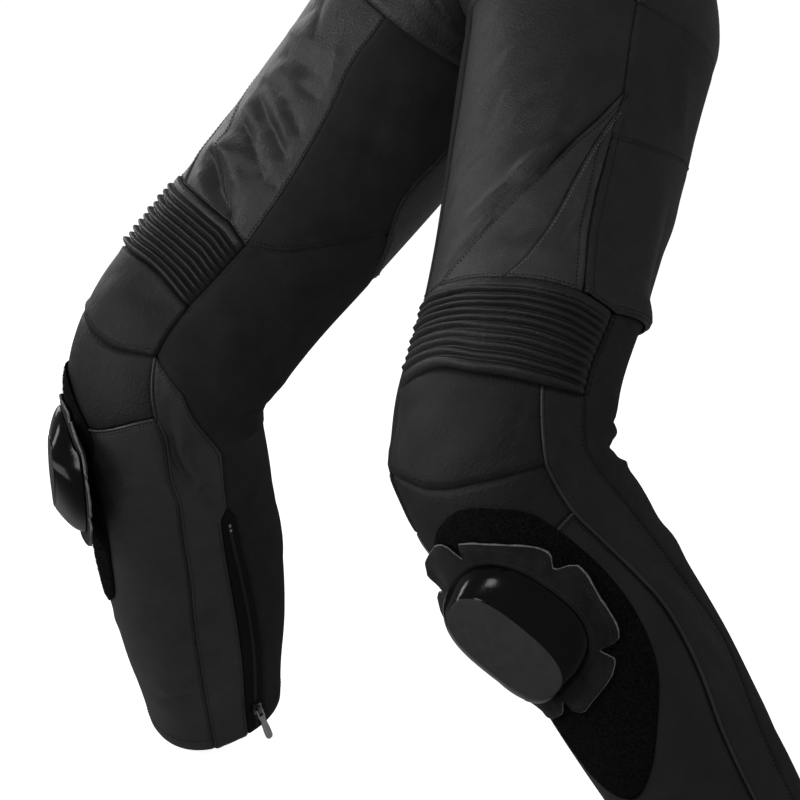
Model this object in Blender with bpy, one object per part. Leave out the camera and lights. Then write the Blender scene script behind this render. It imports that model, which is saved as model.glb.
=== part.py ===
# One-piece leather motorcycle race suit, worn pose, sewn panels as thin solids.
# Metres, +Z up, the wearer faces -Y and the wearer's left is +X.
# Origin: centre of the neck opening, where the wearer's shoulders carry the suit.
import bpy
import math
import numpy as np
from mathutils import Matrix, Vector
from mathutils.bvhtree import BVHTree

# ---------------------------------------------------------------- sizes
WALL = 0.0020            # leather, one layer with its lining glued on
GAP = 0.00015            # half of the 0.3 mm between two sewn pieces
STEP_AROUND = 26.0       # degrees between points round a leg
STEP_ALONG = 0.042       # metres between points down a leg
BEND_HALF = 0.070        # half of the length over which a knee bends
SQUARE = 0.889           # a leg's section: 1 is an ellipse, less is squarer
MM_PER_DEGREE = 1.35     # round a leg, for lengths along seams and folds
LEAN = math.radians(20)  # the upper body leans forward

# Leg rings. Columns: along from the knee (+ is down), then the radius
# to the front, back, outer and inner side. Millimetres.
LEG_RINGS = np.array([
    [-400, 96, 102, 90, 82],
    [-300, 89, 95, 84, 85],
    [-250, 83, 90, 85, 85],
    [-200, 77, 85, 87, 84],
    [-150, 73, 79, 89, 83],
    [-110, 72, 72, 91, 83],
    [-70, 74, 65, 91, 85],
    [-30, 79, 63, 88, 87],
    [0, 83, 66, 79, 86],
    [30, 79, 72, 71, 78],
    [70, 74, 77, 68, 68],
    [110, 73, 80, 68, 60],
    [150, 73, 81, 66, 56],
    [200, 73, 82, 61, 55],
    [250, 70, 80, 53, 56],
    [300, 66, 75, 49, 55],
    [360, 58, 65, 48, 50],
    [430, 52, 57, 47, 48]], float) / 1000.0

# Worn pose of each leg (+1 the wearer's left). knee: its centre from the
# hips; thigh and shin: outward and forward/back run per unit of drop;
# slide: how far the cloth sits down the leg.
LEGS = {
    +1: dict(knee=(0.216, -0.214, -0.304), thigh=(0.441, -0.635),
             shin=(0.343, 0.515), slide=0.016),
    -1: dict(knee=(-0.215, -0.227, -0.312), thigh=(0.470, -0.615),
             shin=(0.492, 0.477), slide=-0.016)}

TOP = -345               # leg panels end here, millimetres above the knee
HEM = 395
CROTCH = -0.360
WAIST = -0.580
RISE = 0.17              # how firmly the hips follow the leg and the waist

# Torso rings above the hips, upright before the lean. Columns: height,
# half width, depth to the front, depth to the back. Metres.
TORSO_RINGS = np.array([
    [-0.08, 0.172, 0.112, 0.122],
    [0.00, 0.176, 0.120, 0.132],
    [0.10, 0.168, 0.112, 0.118],
    [0.19, 0.156, 0.104, 0.102],
    [0.28, 0.164, 0.112, 0.108],
    [0.36, 0.178, 0.122, 0.116],
    [0.44, 0.182, 0.118, 0.116]])
WAIST_HEIGHT = 0.19
NECK = np.array([0.0, 0.0, 0.590])

# Centre edge and outer edge of the chest and back pieces, waist to
# shoulder. Columns: x, y, z. The outer edge turns into the armhole.
FRONT_CENTRE = [(0, -.104, .19), (0, -.112, .28), (0, -.122, .36),
                (0, -.117, .45), (0, -.088, .530), (.038, -.070, .552),
                (.066, -.030, .588), (.072, .000, .602)]
FRONT_SIDE = [(.156, 0, .19), (.164, 0, .28), (.178, 0, .355),
              (.180, 0, .405), (.170, -.046, .432), (.162, -.062, .478),
              (.172, -.044, .530), (.194, .000, .560)]
BACK_CENTRE = [(0, .102, .19), (0, .108, .28), (0, .116, .36),
               (0, .112, .45), (0, .090, .530), (0, .058, .597),
               (.050, .040, .606), (.072, .000, .602)]
BACK_SIDE = [(.156, 0, .19), (.164, 0, .28), (.178, 0, .355),
             (.180, 0, .405), (.172, .044, .436), (.166, .060, .480),
             (.176, .044, .530), (.194, .000, .560)]
PANEL_T = np.array([0, .2, .38, .5, .62, .75, .88, 1.0])

# Arm rings: along from the armhole, radius. Arm pose: the way the upper
# arm and the forearm run.
ARM_RINGS = np.array([[0, .078], [.08, .072], [.16, .066], [.26, .062],
                      [.30, .063], [.38, .056], [.46, .048], [.535, .042]])
UPPER_ARM = np.array([0.62, -0.42, -0.66])
FOREARM = np.array([0.15, -0.95, -0.20])
ELBOW = 0.275

ZIP_HALF = 0.0070        # half the width of the main zip strip
RIBS = 10
RIB_HEIGHT = 0.0050
COLLAR = 0.036

# Broad worn folds of a leg. Columns: around and along of the ends, half
# width (mm), height (mm).
FOLDS_BOTH = [
    (125, -48, 235, -52, 24, 3.0),
    (118, 2, 240, 0, 20, -3.0),
    (115, 50, 240, 48, 24, 2.5)]
FOLDS = {
    +1: [(52, -205, -8, -142, 9, 4.5), (70, -190, 22, -140, 10, -2.5),
         (105, -136, 185, -148, 9, 5.0), (150, -230, 215, -255, 16, 4.0)],
    -1: [(-10, -182, 40, -150, 10, 6.0), (-14, -215, 34, -232, 12, 3.5),
         (-8, -262, 30, -250, 11, -3.0), (105, -136, 185, -148, 9, 5.0)]}

# Hook-and-loop patch outline. Columns: around (degrees), along (mm). Each
# leg's patch sits a little to one side of it.
PATCH = np.array([[-14, 22], [10, 6], [35, 8], [60, 22], [74, 60], [80, 110],
                  [76, 155], [60, 190], [38, 222], [12, 236], [-8, 210],
                  [-13, 150], [-14, 90], [-15, 45]], float)
PATCH_MIDDLE = np.array([33.0, 115.0])
PATCH_SHIFT = {+1: (-5, 0), -1: (5, 8)}
PATCH_LIFT, PATCH_THICK = 0.0012, 0.0015
PATCH_BRIDGE = 0.0014

# Knee slider. at: where its middle is (around, along); turn and tilt: how
# it sits on the leg; stand: its middle above the cloth; depth: the most its
# seat falls below the top of it; reach: how far its backing spreads, and how
# much more downward; droop: how far the petals hang. Metres, radians.
PUCKS = {
    +1: dict(at=(3.3, 0.0813), turn=-0.392, tilt=(0.107, -0.192), stand=0.0024,
             depth=0.018, reach=(1.0, 0.0), droop=0.012),
    -1: dict(at=(9.0, 0.0807), turn=-0.504, tilt=(-0.005, -0.336),
             stand=-0.0012, depth=0.011, reach=(0.7, 0.25), droop=0.002)}
PUCK_FOOT = (0.0560, 0.0500)     # half axes of its foot and its worn face
PUCK_FACE = (0.0488, 0.0251)
PUCK_HEIGHT = 0.0264
PUCK_SHIFT = (0.0025, -0.0007)   # the face lies a little off the foot's middle
PUCK_DOME = 0.217
SEAT_GAP = 0.0003
FLAP_THICK = 0.0016
# Reach of the backing round the slider's foot, cut into petals. Columns:
# degrees round the foot, millimetres.
PETALS = np.array([
    [0, 20], [9, 17], [15, 7], [21, 13], [34, 17], [48, 17], [60, 14], [66, 6],
    [72, 12], [85, 14], [98, 14], [108, 12], [114, 5], [120, 11], [132, 12],
    [144, 12], [151, 10], [157, 6], [163, 19], [172, 25], [184, 26], [192, 22],
    [198, 8], [204, 18], [214, 18], [229, 17], [243, 18], [256, 19], [262, 18],
    [266, 9], [271, 23], [279, 21], [291, 17], [305, 18], [316, 18], [325, 14],
    [331, 7], [337, 17], [347, 20]], float)

# Zip slider: half length, half width, gap under it, height of its top.
# Crown: the arch that holds the pull, (along, height above the top).
SLIDER = (0.0065, 0.0045)
SLIDER_GAP, SLIDER_TOP = 0.0005, 0.0031
CROWN_OUTSIDE = [(-.0041, -.0008), (-.0041, .0018), (-.0029, .0036),
                 (.0029, .0036), (.0041, .0018), (.0041, -.0008)]
CROWN_INSIDE = [(-.0031, -.0008), (-.0031, .0014), (-.0024, .0026),
                (.0024, .0026), (.0031, .0014), (.0031, -.0008)]
CROWN_HALF = 0.0015
PULL_AXIS = 0.0013       # its axis above the slider's top
PULL_THICK = 0.0014
PULL_OUTLINE = [(.0028, -.0007), (.0033, .0002), (.0033, .0070), (.0026, .0100),
                (.0034, .0220), (.0032, .0270), (.0018, .0290)]
PULL_EYE = [(.0014, .0007), (.00195, .0007), (.00195, .0063), (.0015, .0063),
            (.0010, .0063), (.0006, .0063), (.00025, .0063)]
CALF_SLIDER_AT = (-103.5, 0.368)


# ---------------------------------------------------------------- maths
def unit(v):
    v = np.asarray(v, float)
    return v / np.maximum(np.linalg.norm(v, axis=-1, keepdims=True), 1e-12)


def smooth(x):
    x = np.clip(x, 0.0, 1.0)
    return x * x * (3 - 2 * x)


def hermite(x, xs, ys):
    xs, ys = np.asarray(xs, float), np.asarray(ys, float)
    m = np.gradient(ys, xs, axis=0)
    x = np.clip(x, xs[0], xs[-1])
    i = np.clip(np.searchsorted(xs, x) - 1, 0, len(xs) - 2)
    h, t = xs[i + 1] - xs[i], (x - xs[i]) / (xs[i + 1] - xs[i])
    if ys.ndim > 1:
        h, t = h[..., None], t[..., None]
    return ((2 * t**3 - 3 * t**2 + 1) * ys[i] + (t**3 - 2 * t**2 + t) * h * m[i]
            + (-2 * t**3 + 3 * t**2) * ys[i + 1] + (t**3 - t**2) * h * m[i + 1])


def leaned(p):
    """Torso point, upright about the hips, to the leaning body."""
    y, z = p[..., 1], p[..., 2]
    return np.stack([p[..., 0], y * math.cos(LEAN) - z * math.sin(LEAN),
                     y * math.sin(LEAN) + z * math.cos(LEAN)], -1)


ORIGIN = leaned(NECK)


# ---------------------------------------------------------------- legs
def leg_line(side):
    """Sampled centre line of a leg: along, centre, down, forward, outward."""
    q = LEGS[side]
    t = unit([side * q['thigh'][0], q['thigh'][1], -1.0])
    s = unit([side * q['shin'][0], q['shin'][1], -1.0])
    bend = math.acos(float(t @ s))
    f0 = -(s - t * math.cos(bend)) / math.sin(bend)
    v = np.linspace(-0.66, 0.50, 1161)
    phi = (bend * smooth((v + BEND_HALF) / (2 * BEND_HALF)))[:, None]
    down = t * np.cos(phi) - f0 * np.sin(phi)
    fwd = f0 * np.cos(phi) + t * np.sin(phi)
    c = np.zeros((len(v), 3))
    c[1:] = np.cumsum((down[1:] + down[:-1]) / 2 * np.diff(v)[:, None], axis=0)
    run = np.linalg.lstsq(np.stack([t, s], 1), c[-1] - c[0], rcond=None)[0]
    c += np.array(q['knee']) - (c[0] + t * run[0])
    out = np.cross(f0, t)
    return v, c, fwd, out * np.sign(out[0] * side)


LINES = {side: leg_line(side) for side in LEGS}


def folds(side, around, along):
    """Height of the broad folds, metres."""
    h = np.zeros(np.broadcast(around, along).shape)
    for a0, v0, a1, v1, width, high in FOLDS_BOTH + FOLDS[side]:
        mid = (a0 + a1) / 2
        a = (around - mid + 180) % 360 - 180 + mid
        px, py = (a - a0) * MM_PER_DEGREE, along * 1000 - v0
        dx, dy = (a1 - a0) * MM_PER_DEGREE, v1 - v0
        t = np.clip((px * dx + py * dy) / (dx * dx + dy * dy), 0, 1)
        away = np.hypot(px - t * dx, py - t * dy) / width
        ends = smooth(t / 0.3) * smooth((1 - t) / 0.3)
        h += high / 1000 * np.exp(-away**2) * (0.25 + 0.75 * ends)
    return h


def slide(side, along):
    return LEGS[side]['slide'] * (smooth((along + 0.340) / 0.09)
                                  * smooth((0.390 - along) / 0.12))


def tube(side, around, along):
    """Leg surface. around in degrees: 0 front, 90 outer, 180 back."""
    v, c, fwd, out = LINES[side]
    at = lambda a: np.stack([np.interp(along, v, a[:, k]) for k in range(3)], -1)
    r = hermite(along, LEG_RINGS[:, 0], LEG_RINGS[:, 1:])
    th = np.radians(around)
    co, si = np.cos(th), np.sin(th)
    x = np.where(co >= 0, r[..., 0], r[..., 1]) * np.sign(co) * np.abs(co)**SQUARE
    y = np.where(si >= 0, r[..., 2], r[..., 3]) * np.sign(si) * np.abs(si)**SQUARE
    return at(c) + at(fwd) * x[..., None] + out * y[..., None]


def torso_ring(side, turn, height):
    """Half ring of the torso, turn 0 at the centre front, 1 at the back."""
    turn, height = np.broadcast_arrays(turn, np.float64(height))
    r = hermite(height, TORSO_RINGS[:, 0], TORSO_RINGS[:, 1:])
    co, si = np.cos(np.pi * turn), np.sin(np.pi * turn)
    deep = np.where(co >= 0, r[..., 1], r[..., 2])
    return leaned(np.stack([side * r[..., 0] * np.abs(si),
                            -deep * co, height], -1))


def body(side, around, cloth):
    """The suit from waist to hem. cloth: metres down the cut pattern."""
    around, cloth = np.broadcast_arrays(np.asarray(around, float),
                                        np.asarray(cloth, float))
    along = cloth + slide(side, cloth)
    leg = tube(side, around, np.maximum(along, CROTCH))
    turn = ((around + 90) / 360) % 1.0
    turn = np.where((turn == 0) & (around > 90), 1.0, turn)
    near = np.minimum(turn, 1 - turn)
    # the two legs meet alike on the middle plane at the crotch
    other = tube(-side, around, np.maximum(along, CROTCH)) * [-1, 1, 1]
    meet = smooth((-0.325 - along) / 0.035)
    share = np.interp(near, [0, .05, .15, .30, .5], [1, .80, .30, 0, 0]) * meet / 2
    leg = leg * (1 - share[..., None]) + other * share[..., None]
    inner = side * (tube(side, -90.0, np.maximum(along, CROTCH))[..., 0]
                    - tube(-side, -90.0, np.maximum(along, CROTCH))[..., 0]) / 2
    pull = np.interp(near, [0, .02, .05, .10, .5], [1, .70, .30, 0, 0])
    leg[..., 0] -= side * inner * pull * meet
    # above it the cloth runs on in one sweep up to the waist
    s = np.clip((along - CROTCH) / (WAIST - CROTCH), 0, 1)[..., None]
    _, _, fwd, out = LINES[side]
    up = unit(np.cross(out, fwd[0]))
    up = up * np.sign(up[2])
    under = np.where((turn < 0.5)[..., None], [0, -0.80, 0.60], [0, 1.0, -0.08])
    mix = smooth(1 - near / 0.20)[..., None]
    leave = unit(up * (1 - mix) + under * mix) * RISE * (1 - 0.3 * mix)
    leave[..., 0] *= smooth(near / 0.30)
    waist = torso_ring(side, turn, WAIST_HEIGHT)
    arrive = unit(torso_ring(side, turn, WAIST_HEIGHT + 0.01)
                  - torso_ring(side, turn, WAIST_HEIGHT - 0.01)) * RISE
    p = ((2 * s**3 - 3 * s**2 + 1) * leg + (s**3 - 2 * s**2 + s) * leave
         + (-2 * s**3 + 3 * s**2) * waist + (s**3 - s**2) * arrive)
    p[..., 0] = side * np.where(along < -0.325, np.maximum(side * p[..., 0], 0.0),
                                side * p[..., 0])
    return p


def leg_surface(side, around, cloth, lift=0.0):
    """Point and outward normal on the folded outside of a leg panel."""
    da, dc = 0.4, 0.0008
    around = np.asarray(around, float)
    around = np.where(around < -90, around + 360,
                      np.where(around > 270, around - 360, around))
    half = cloth + slide(side, cloth) < CROTCH
    lo = np.where(half, np.maximum(around - da, -90), around - da)
    hi = np.where(half, np.minimum(around + da, 270), around + da)
    pa = body(side, hi, cloth) - body(side, lo, cloth)
    pc = body(side, around, cloth + dc) - body(side, around, cloth - dc)
    n = unit(np.cross(pc, pa)) * side
    p = body(side, around, cloth)
    return p + n * (folds(side, around, cloth) + lift)[..., None], n


# ---------------------------------------------------------------- grids
def edge_samples(knots, by_along):
    """Knots of a seam and the points filled in between, with their place."""
    k = np.array(knots, float)
    pts = [k[0]]
    for p, q in zip(k[:-1], k[1:]):
        n = max(1, math.ceil(max(abs(q[0] - p[0]) / STEP_AROUND,
                                 abs(q[1] - p[1]) / 1000 / STEP_ALONG) - 0.15))
        pts += [p + (q - p) * i / n for i in range(1, n + 1)]
    pts = np.array(pts)
    if by_along:
        t = (pts[:, 1] - pts[0, 1]) / (pts[-1, 1] - pts[0, 1])
        t[-1] = 1.0
    else:
        d = np.hypot(np.diff(pts[:, 0]) * MM_PER_DEGREE, np.diff(pts[:, 1]))
        t = np.concatenate([[0], np.cumsum(d)]) / d.sum()
        t[-1] = 1.0
    return pts, t


def merged(a, b, near):
    """One set of places for two facing seams. Places that nearly agree are
    made one, so that each seam keeps every point of its own."""
    b = b.copy()
    for i in range(1, len(b) - 1):
        j = int(np.abs(a - b[i]).argmin())
        if abs(a[j] - b[i]) < near and b[i - 1] < a[j] < b[i + 1]:
            b[i] = a[j]
    return a, b, np.array(sorted(set(np.concatenate([a, b]))))


def at_places(t, ts, values):
    return np.stack([np.interp(t, ts, values[:, k]) for k in range(values.shape[1])], -1)


def calmed(t, line):
    """A side seam's run with its sharp turns averaged out."""
    close = np.maximum(0, 1 - np.abs(t[:, None] - t[None]) / 0.16)
    close *= np.gradient(t)[None]
    return np.einsum('ij,jkl->ikl', close / close.sum(1, keepdims=True), line)


def inset(p, n, amounts):
    """Pull the four edges of a grid inward along the surface."""
    p = p.copy()
    lines = [(p[:, 0], n[:, 0]), (p[:, -1], n[:, -1]), (p[0], n[0]), (p[-1], n[-1])]
    down, over = p[1:, :-1] - p[:-1, :-1], p[:-1, 1:] - p[:-1, :-1]
    hand = np.sign((np.cross(down, over) * n[:-1, :-1]).sum())
    ways = []
    for (line, normal), sign, amount in zip(lines, (-1, 1, 1, -1), amounts):
        seg = unit(line[1:] - line[:-1])
        way = unit(np.cross(seg, unit(normal[1:] + normal[:-1]))) * sign * hand
        before, after = np.vstack([way[:1], way]), np.vstack([way, way[-1:]])
        turn = (before * after).sum(-1, keepdims=True)
        full = (before + after) / np.maximum(1 + turn, 0.4)
        ways.append((full * np.asarray(amount).reshape(-1, 1), way))
    shift = np.zeros_like(p)
    for k, idx in enumerate([(slice(None), 0), (slice(None), -1),
                             (0, slice(None)), (-1, slice(None))]):
        shift[idx] = ways[k][0]
    for i, j, k, m in ((0, 0, 0, 2), (0, -1, 1, 2), (-1, 0, 0, 3), (-1, -1, 1, 3)):
        na, nb = ways[k][1][i], ways[m][1][0 if j == 0 else -1]
        a = np.broadcast_to(amounts[k], (p.shape[0],))[i]
        b = np.broadcast_to(amounts[m], (p.shape[1],))[j]
        c = float(na @ nb)
        if c > 0.9:
            shift[i, j] = (na + nb) / 2 * max(a, b)
        else:
            d = max(1 - c * c, 0.12)
            shift[i, j] = ((a - b * c) * na + (b - a * c) * nb) / d
    return p + shift


def solid(name, outer, inner):
    """Close two matching grids of points into one body."""
    rows, cols = outer.shape[:2]
    verts = np.concatenate([outer.reshape(-1, 3), inner.reshape(-1, 3)]) - ORIGIN
    idx = np.arange(rows * cols).reshape(rows, cols)
    n = rows * cols
    faces = []

    def short(a, b, c, d):
        pa, pb, pc, pd = verts[[a, b, c, d]]
        return np.linalg.norm(pa - pc) <= np.linalg.norm(pb - pd)

    def quad(a, b, c, d, ac=None):
        if short(a, b, c, d) if ac is None else ac:
            faces.extend([(a, b, c), (a, c, d)])
        else:
            faces.extend([(a, b, d), (b, c, d)])
    for i in range(rows - 1):
        for j in range(cols - 1):
            a, b, c, d = idx[i, j], idx[i, j + 1], idx[i + 1, j + 1], idx[i + 1, j]
            ac = short(a, b, c, d)
            quad(a, b, c, d, ac)
            quad(a + n, d + n, c + n, b + n, ac)
    ring = list(idx[0, :]) + list(idx[1:, -1]) + list(idx[-1, -2::-1]) + list(idx[-2:0:-1, 0])
    for a, b in zip(ring, ring[1:] + ring[:1]):
        quad(b, a, a + n, b + n)
    return build(name, verts, faces)


def build(name, verts, faces):
    verts = np.asarray(verts, float)
    f = np.array(faces)
    a, b, c = verts[f[:, 0]], verts[f[:, 1]], verts[f[:, 2]]
    if (a * np.cross(b, c)).sum() < 0:
        f = f[:, ::-1]
    mesh = bpy.data.meshes.new(name)
    mesh.from_pydata(verts.tolist(), [], f.tolist())
    mesh.update()
    obj = bpy.data.objects.new(name, mesh)
    bpy.context.collection.objects.link(obj)
    return obj


def keep_side(side, p, least=GAP):
    p = p.copy()
    p[..., 0] = side * np.maximum(side * p[..., 0], least)
    return p


def leg_panel(name, side, left, right, top, bottom, rows=None, relief=None,
              insets=(GAP, GAP, GAP, GAP), body_half=False):
    """A sewn panel between four seams given in around/along knots."""
    lp, lt = edge_samples(left, True)
    rp, rt = edge_samples(right, True)
    tp, tt = edge_samples(top, False)
    bp, bt = edge_samples(bottom, False)
    lt, rt, t = merged(lt, rt, 0.040)
    tt, bt, s = merged(tt, bt, 0.09)
    if rows is not None:
        _, lt, _ = merged(rows, lt, 0.03)
        _, rt, t = merged(rows, rt, 0.03)
    L, R = at_places(t, lt, lp)[:, None], at_places(t, rt, rp)[:, None]
    T, B = at_places(s, tt, tp)[None], at_places(s, bt, bp)[None]
    S, TT = s[None, :, None], t[:, None, None]
    # inside the piece the columns run straighter than its side seams
    calm_l, calm_r = calmed(t, L), calmed(t, R)
    L, R = calm_l + (L - calm_l) * (1 - S)**5, calm_r + (R - calm_r) * S**5
    uv = ((1 - S) * L + S * R + (1 - TT) * T + TT * B
          - (1 - S) * (1 - TT) * lp[0] - S * (1 - TT) * rp[0]
          - (1 - S) * TT * lp[-1] - S * TT * rp[-1])
    base, n = leg_surface(side, uv[..., 0], uv[..., 1] / 1000)
    for pts, ts, where, idx in ((lp, lt, t, (slice(None), 0)),
                                (rp, rt, t, (slice(None), -1)),
                                (tp, tt, s, (0, slice(None))),
                                (bp, bt, s, (-1, slice(None)))):
        e, en = leg_surface(side, pts[:, 0], pts[:, 1] / 1000)
        base[idx], n[idx] = at_places(where, ts, e), unit(at_places(where, ts, en))
    base = inset(base, n, [f(t if i < 2 else s) if callable(f) else f
                           for i, f in enumerate(insets)])
    outer = base + n * relief(s, t)[..., None] if relief is not None else base
    inner = base - n * WALL
    if body_half:
        outer, inner = keep_side(side, outer), keep_side(side, inner)
    return solid(name, outer, inner)


# ---------------------------------------------------------------- seams
# (around, along): degrees, millimetres from the knee, + is down.
A0, A1, A2, A3, A4 = (-28, -120), (-12, -125), (30, -118), (77, -116), (97, -112)
B0, B1, B2 = (-24, -54), (66, -44), (90, -42)
C0, C1 = (-27, -18), (69, -2)
D0, D1 = (-46, 10), (75, 30)
R1, R2, R3 = (81, -282), (79, -268), (77, -246)
Q1, Q2, Q3 = (180, -285), (180, -150), (262, -192)
S1, Z0, ZB, ZF = (-54, -8), (-98, 122), (-103, 140), (-94, 134)

INSEAM = [(-20, TOP), (-19, -290), (-24, -240), (-27, -184), A0]
DIAGONAL_1 = [R1, (70, -258), (54, -228), (36, -194), (19, -168), (4, -147), A1]
DIAGONAL_2 = [R2, (72, -246), (62, -208), (54, -176), (42, -138), A2]
RIDGE_LOW = [R3, (75, -204), (74, -164), A3]
OUTER_CROSS = [R3, (98, -254), (132, -268), Q1]
BACK_SEAM = [(266, TOP), (268, -276), (268, -210), Q3]
STRETCH_TOP = [A4, (139, -132), Q2, (243, -158), Q3]
STRETCH_CROSS = [Q3, (278, -174), (297, -150), (313, -132), (332, -120)]
ACCORDION_OUT = [A4, (93, -82), (91, -64), B2]
ACCORDION_IN = [A0, (-26, -86), B0]
ACCORDION_LOW = [B0, (0, -57), (30, -50), B1, B2]
CUP_IN = [B0, (-25, -32), C0]
CUP_OUT = [B1, (69, -20), C1]
CUP_LOW = [C0, (0, -6), (31, -3), C1]
SHIN_CROSS = [D0, (-2, 38), (40, 38), D1]
PIPING_IN = [D0, (-54, 20), (-65, 58), (-71, 142), (-72, 194), (-69, 252),
             (-67, 314), (-66, HEM)]
PIPING_OUT = [D1, (88, 94), (92, 125), (93, 158), (90, 222), (86, 300), (84, HEM)]
STRAP_IN, STRAP_OUT = [C0, (-34, -6), D0], [C1, (72, 12), D1]
OUTER_BACK = [B2, (92, -10), (104, 36), (107, 60), (117, 140),
              (123, 174), (121, 216), (115, 260), (112, HEM)]
CURVED = [C0, S1, (-86, 24), (-97, 96), Z0]
ZIP_FRONT = [Z0, ZF, (-95, 250), (-95, HEM)]
ZIP_BACK = [Z0, ZB, (-106, 200), (-109, 260), (-111, 320), (-112, HEM)]


def turned(knots, by=360):
    return [(a + by, v) for a, v in knots]


def rib_rows():
    band = [0, .035, .075, .115]
    step = (1 - .115) / RIBS
    return np.array(band + [.115 + step * (i + f) for i in range(RIBS)
                            for f in (.5, 1.0)])


def rib_relief(s, t):
    """Puffy band, then the ribs, fading out at the side seams."""
    step = (1 - .115) / RIBS
    phase = ((t - .115) / step) % 1.0
    ribs = np.where((phase > .05) & (phase < .95), RIB_HEIGHT, 0.0)
    band = np.where((t > .01) & (t < .10), 0.0035, 0.0)
    high = np.where(t < .115, band, ribs)
    ends = np.clip(np.minimum(s, 1 - s) / 0.04, 0.25, 1.0)
    return high[:, None] * ends[None, :]


def leg_panels(side, tag):
    panel = lambda name, *edges, **kw: leg_panel(name + tag, side, *edges, **kw)
    panel('thigh_front', INSEAM, [(78, TOP)] + DIAGONAL_1,
          [(-20, TOP), (78, TOP)], [A0, A1])
    panel('thigh_wedge_upper', DIAGONAL_1, DIAGONAL_2, [R1, R2], [A1, A2])
    panel('thigh_wedge_lower', DIAGONAL_2, RIDGE_LOW, [R2, R3], [A2, A3])
    panel('thigh_outer_upper', [(78, TOP), R1, R2, R3], [(180, TOP), Q1],
          [(78, TOP), (180, TOP)], OUTER_CROSS)
    panel('thigh_outer_lower', RIDGE_LOW, [Q1, Q2], OUTER_CROSS,
          [A3, A4, (139, -132), Q2])
    panel('thigh_back', [(180, TOP), Q1, Q2], BACK_SEAM,
          [(180, TOP), (266, TOP)], [Q2, (243, -158), Q3])
    panel('thigh_inner', turned(BACK_SEAM, -360), INSEAM,
          [(-94, TOP), (-90, TOP), (-20, TOP)], turned(STRETCH_CROSS, -360))
    panel('knee_back', [A4] + ACCORDION_OUT[1:] + OUTER_BACK[1:],
          turned(ACCORDION_IN + CUP_IN[1:] + CURVED[1:] + ZIP_BACK[1:]),
          STRETCH_TOP + STRETCH_CROSS[1:], [(112, HEM), (180, HEM), (248, HEM)])
    panel('knee_accordion', ACCORDION_IN, ACCORDION_OUT, [A0, A1, A2, A3, A4],
          ACCORDION_LOW, rows=rib_rows(), relief=rib_relief)
    panel('knee_cup', CUP_IN, CUP_OUT, ACCORDION_LOW[:-1], CUP_LOW)
    panel('knee_strap', STRAP_IN, STRAP_OUT, CUP_LOW, SHIN_CROSS)
    panel('shin_front', PIPING_IN, PIPING_OUT, SHIN_CROSS,
          [(-66, HEM), (0, HEM), (84, HEM)])
    panel('calf_outer', CUP_OUT + STRAP_OUT[1:] + PIPING_OUT[1:], OUTER_BACK,
          [B1, B2], [(84, HEM), (112, HEM)])
    panel('calf_inner', CURVED[1:] + ZIP_FRONT[1:], STRAP_IN + PIPING_IN[1:],
          [S1, C0], [(-95, HEM), (-66, HEM)])
    panel('calf_zip_tape', ZIP_BACK[1:], ZIP_FRONT[1:], [ZB, Z0, ZF],
          [(-112, HEM), (-95, HEM)])


# ---------------------------------------------------------------- hips
def zip_width(t):
    """Half width of the opening for the main zip, t 0 at the waist."""
    return np.interp(t, [0, .40, .56, 1], [ZIP_HALF, ZIP_HALF, 0, 0]) + GAP


def hip_panels(side, tag):
    waist = WAIST * 1000
    rows = lambda a: [(a, waist), (a, -520), (a, -460), (a, -410), (a, -375),
                      (a, -358), (a, TOP)]
    side_seam = [(90, waist), (89, -520), (87, -460), (84, -410), (81, -375),
                 (79, -358), (78, TOP)]
    leg_panel('hip_front' + tag, side, rows(-90), side_seam,
              [(-90, waist), (-45, waist), (0, waist), (45, waist), (90, waist)],
              [(-90, TOP), (-20, TOP), (78, TOP)],
              insets=(zip_width, GAP, GAP, GAP), body_half=True)
    leg_panel('seat' + tag, side, side_seam, rows(270),
              [(90, waist), (135, waist), (180, waist), (225, waist), (270, waist)],
              [(78, TOP), (180, TOP), (266, TOP), (270, TOP)], body_half=True)


# ---------------------------------------------------------------- torso
def quarter(side, centre, outer, s, t):
    """Quarter-round sheet between a centre edge and an outer edge."""
    a = hermite(t, PANEL_T, np.array(centre, float))
    b = hermite(t, PANEL_T, np.array(outer, float))
    mid = np.stack([a[..., 0], b[..., 1], (a[..., 2] + b[..., 2]) / 2], -1)
    co = np.cos(np.pi / 2 * s)[..., None]
    si = np.sin(np.pi / 2 * s)[..., None]
    p = mid + (a - mid) * co + (b - mid) * si
    p[..., 0] *= side
    return leaned(p)


def sheet_normal(f, s, t, flip):
    e = 1e-3
    clip = lambda x: np.clip(x, 0, 1)
    ds = f(clip(s + e), t) - f(clip(s - e), t)
    dt = f(s, clip(t + e)) - f(s, clip(t - e))
    return unit(np.cross(ds, dt)) * flip


def armhole(side, u):
    """Closed armhole edge: 0 underarm, 0.5 shoulder tip, then the back."""
    u = np.asarray(u, float)
    front = u <= 0.5
    k = PANEL_T[3] + (1 - PANEL_T[3]) * np.where(front, 2 * u, 2 - 2 * u)
    p = np.where(front[..., None], hermite(k, PANEL_T, np.array(FRONT_SIDE, float)),
                 hermite(k, PANEL_T, np.array(BACK_SIDE, float)))
    p[..., 0] *= side
    return leaned(p)


def arm_frame(side, d):
    """Centre and axes of the arm at a distance from the armhole."""
    flip = np.array([side, 1, 1])
    a, b = unit(UPPER_ARM * flip), unit(FOREARM * flip)
    start_way = unit(np.array([side * 0.90, -0.14, -0.38]))
    w0 = smooth(d / 0.15)[..., None]
    w1 = smooth((d - ELBOW + 0.05) / 0.10)[..., None]
    return unit(start_way * (1 - w0) + a * w0 * (1 - w1) + b * w1)


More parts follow.
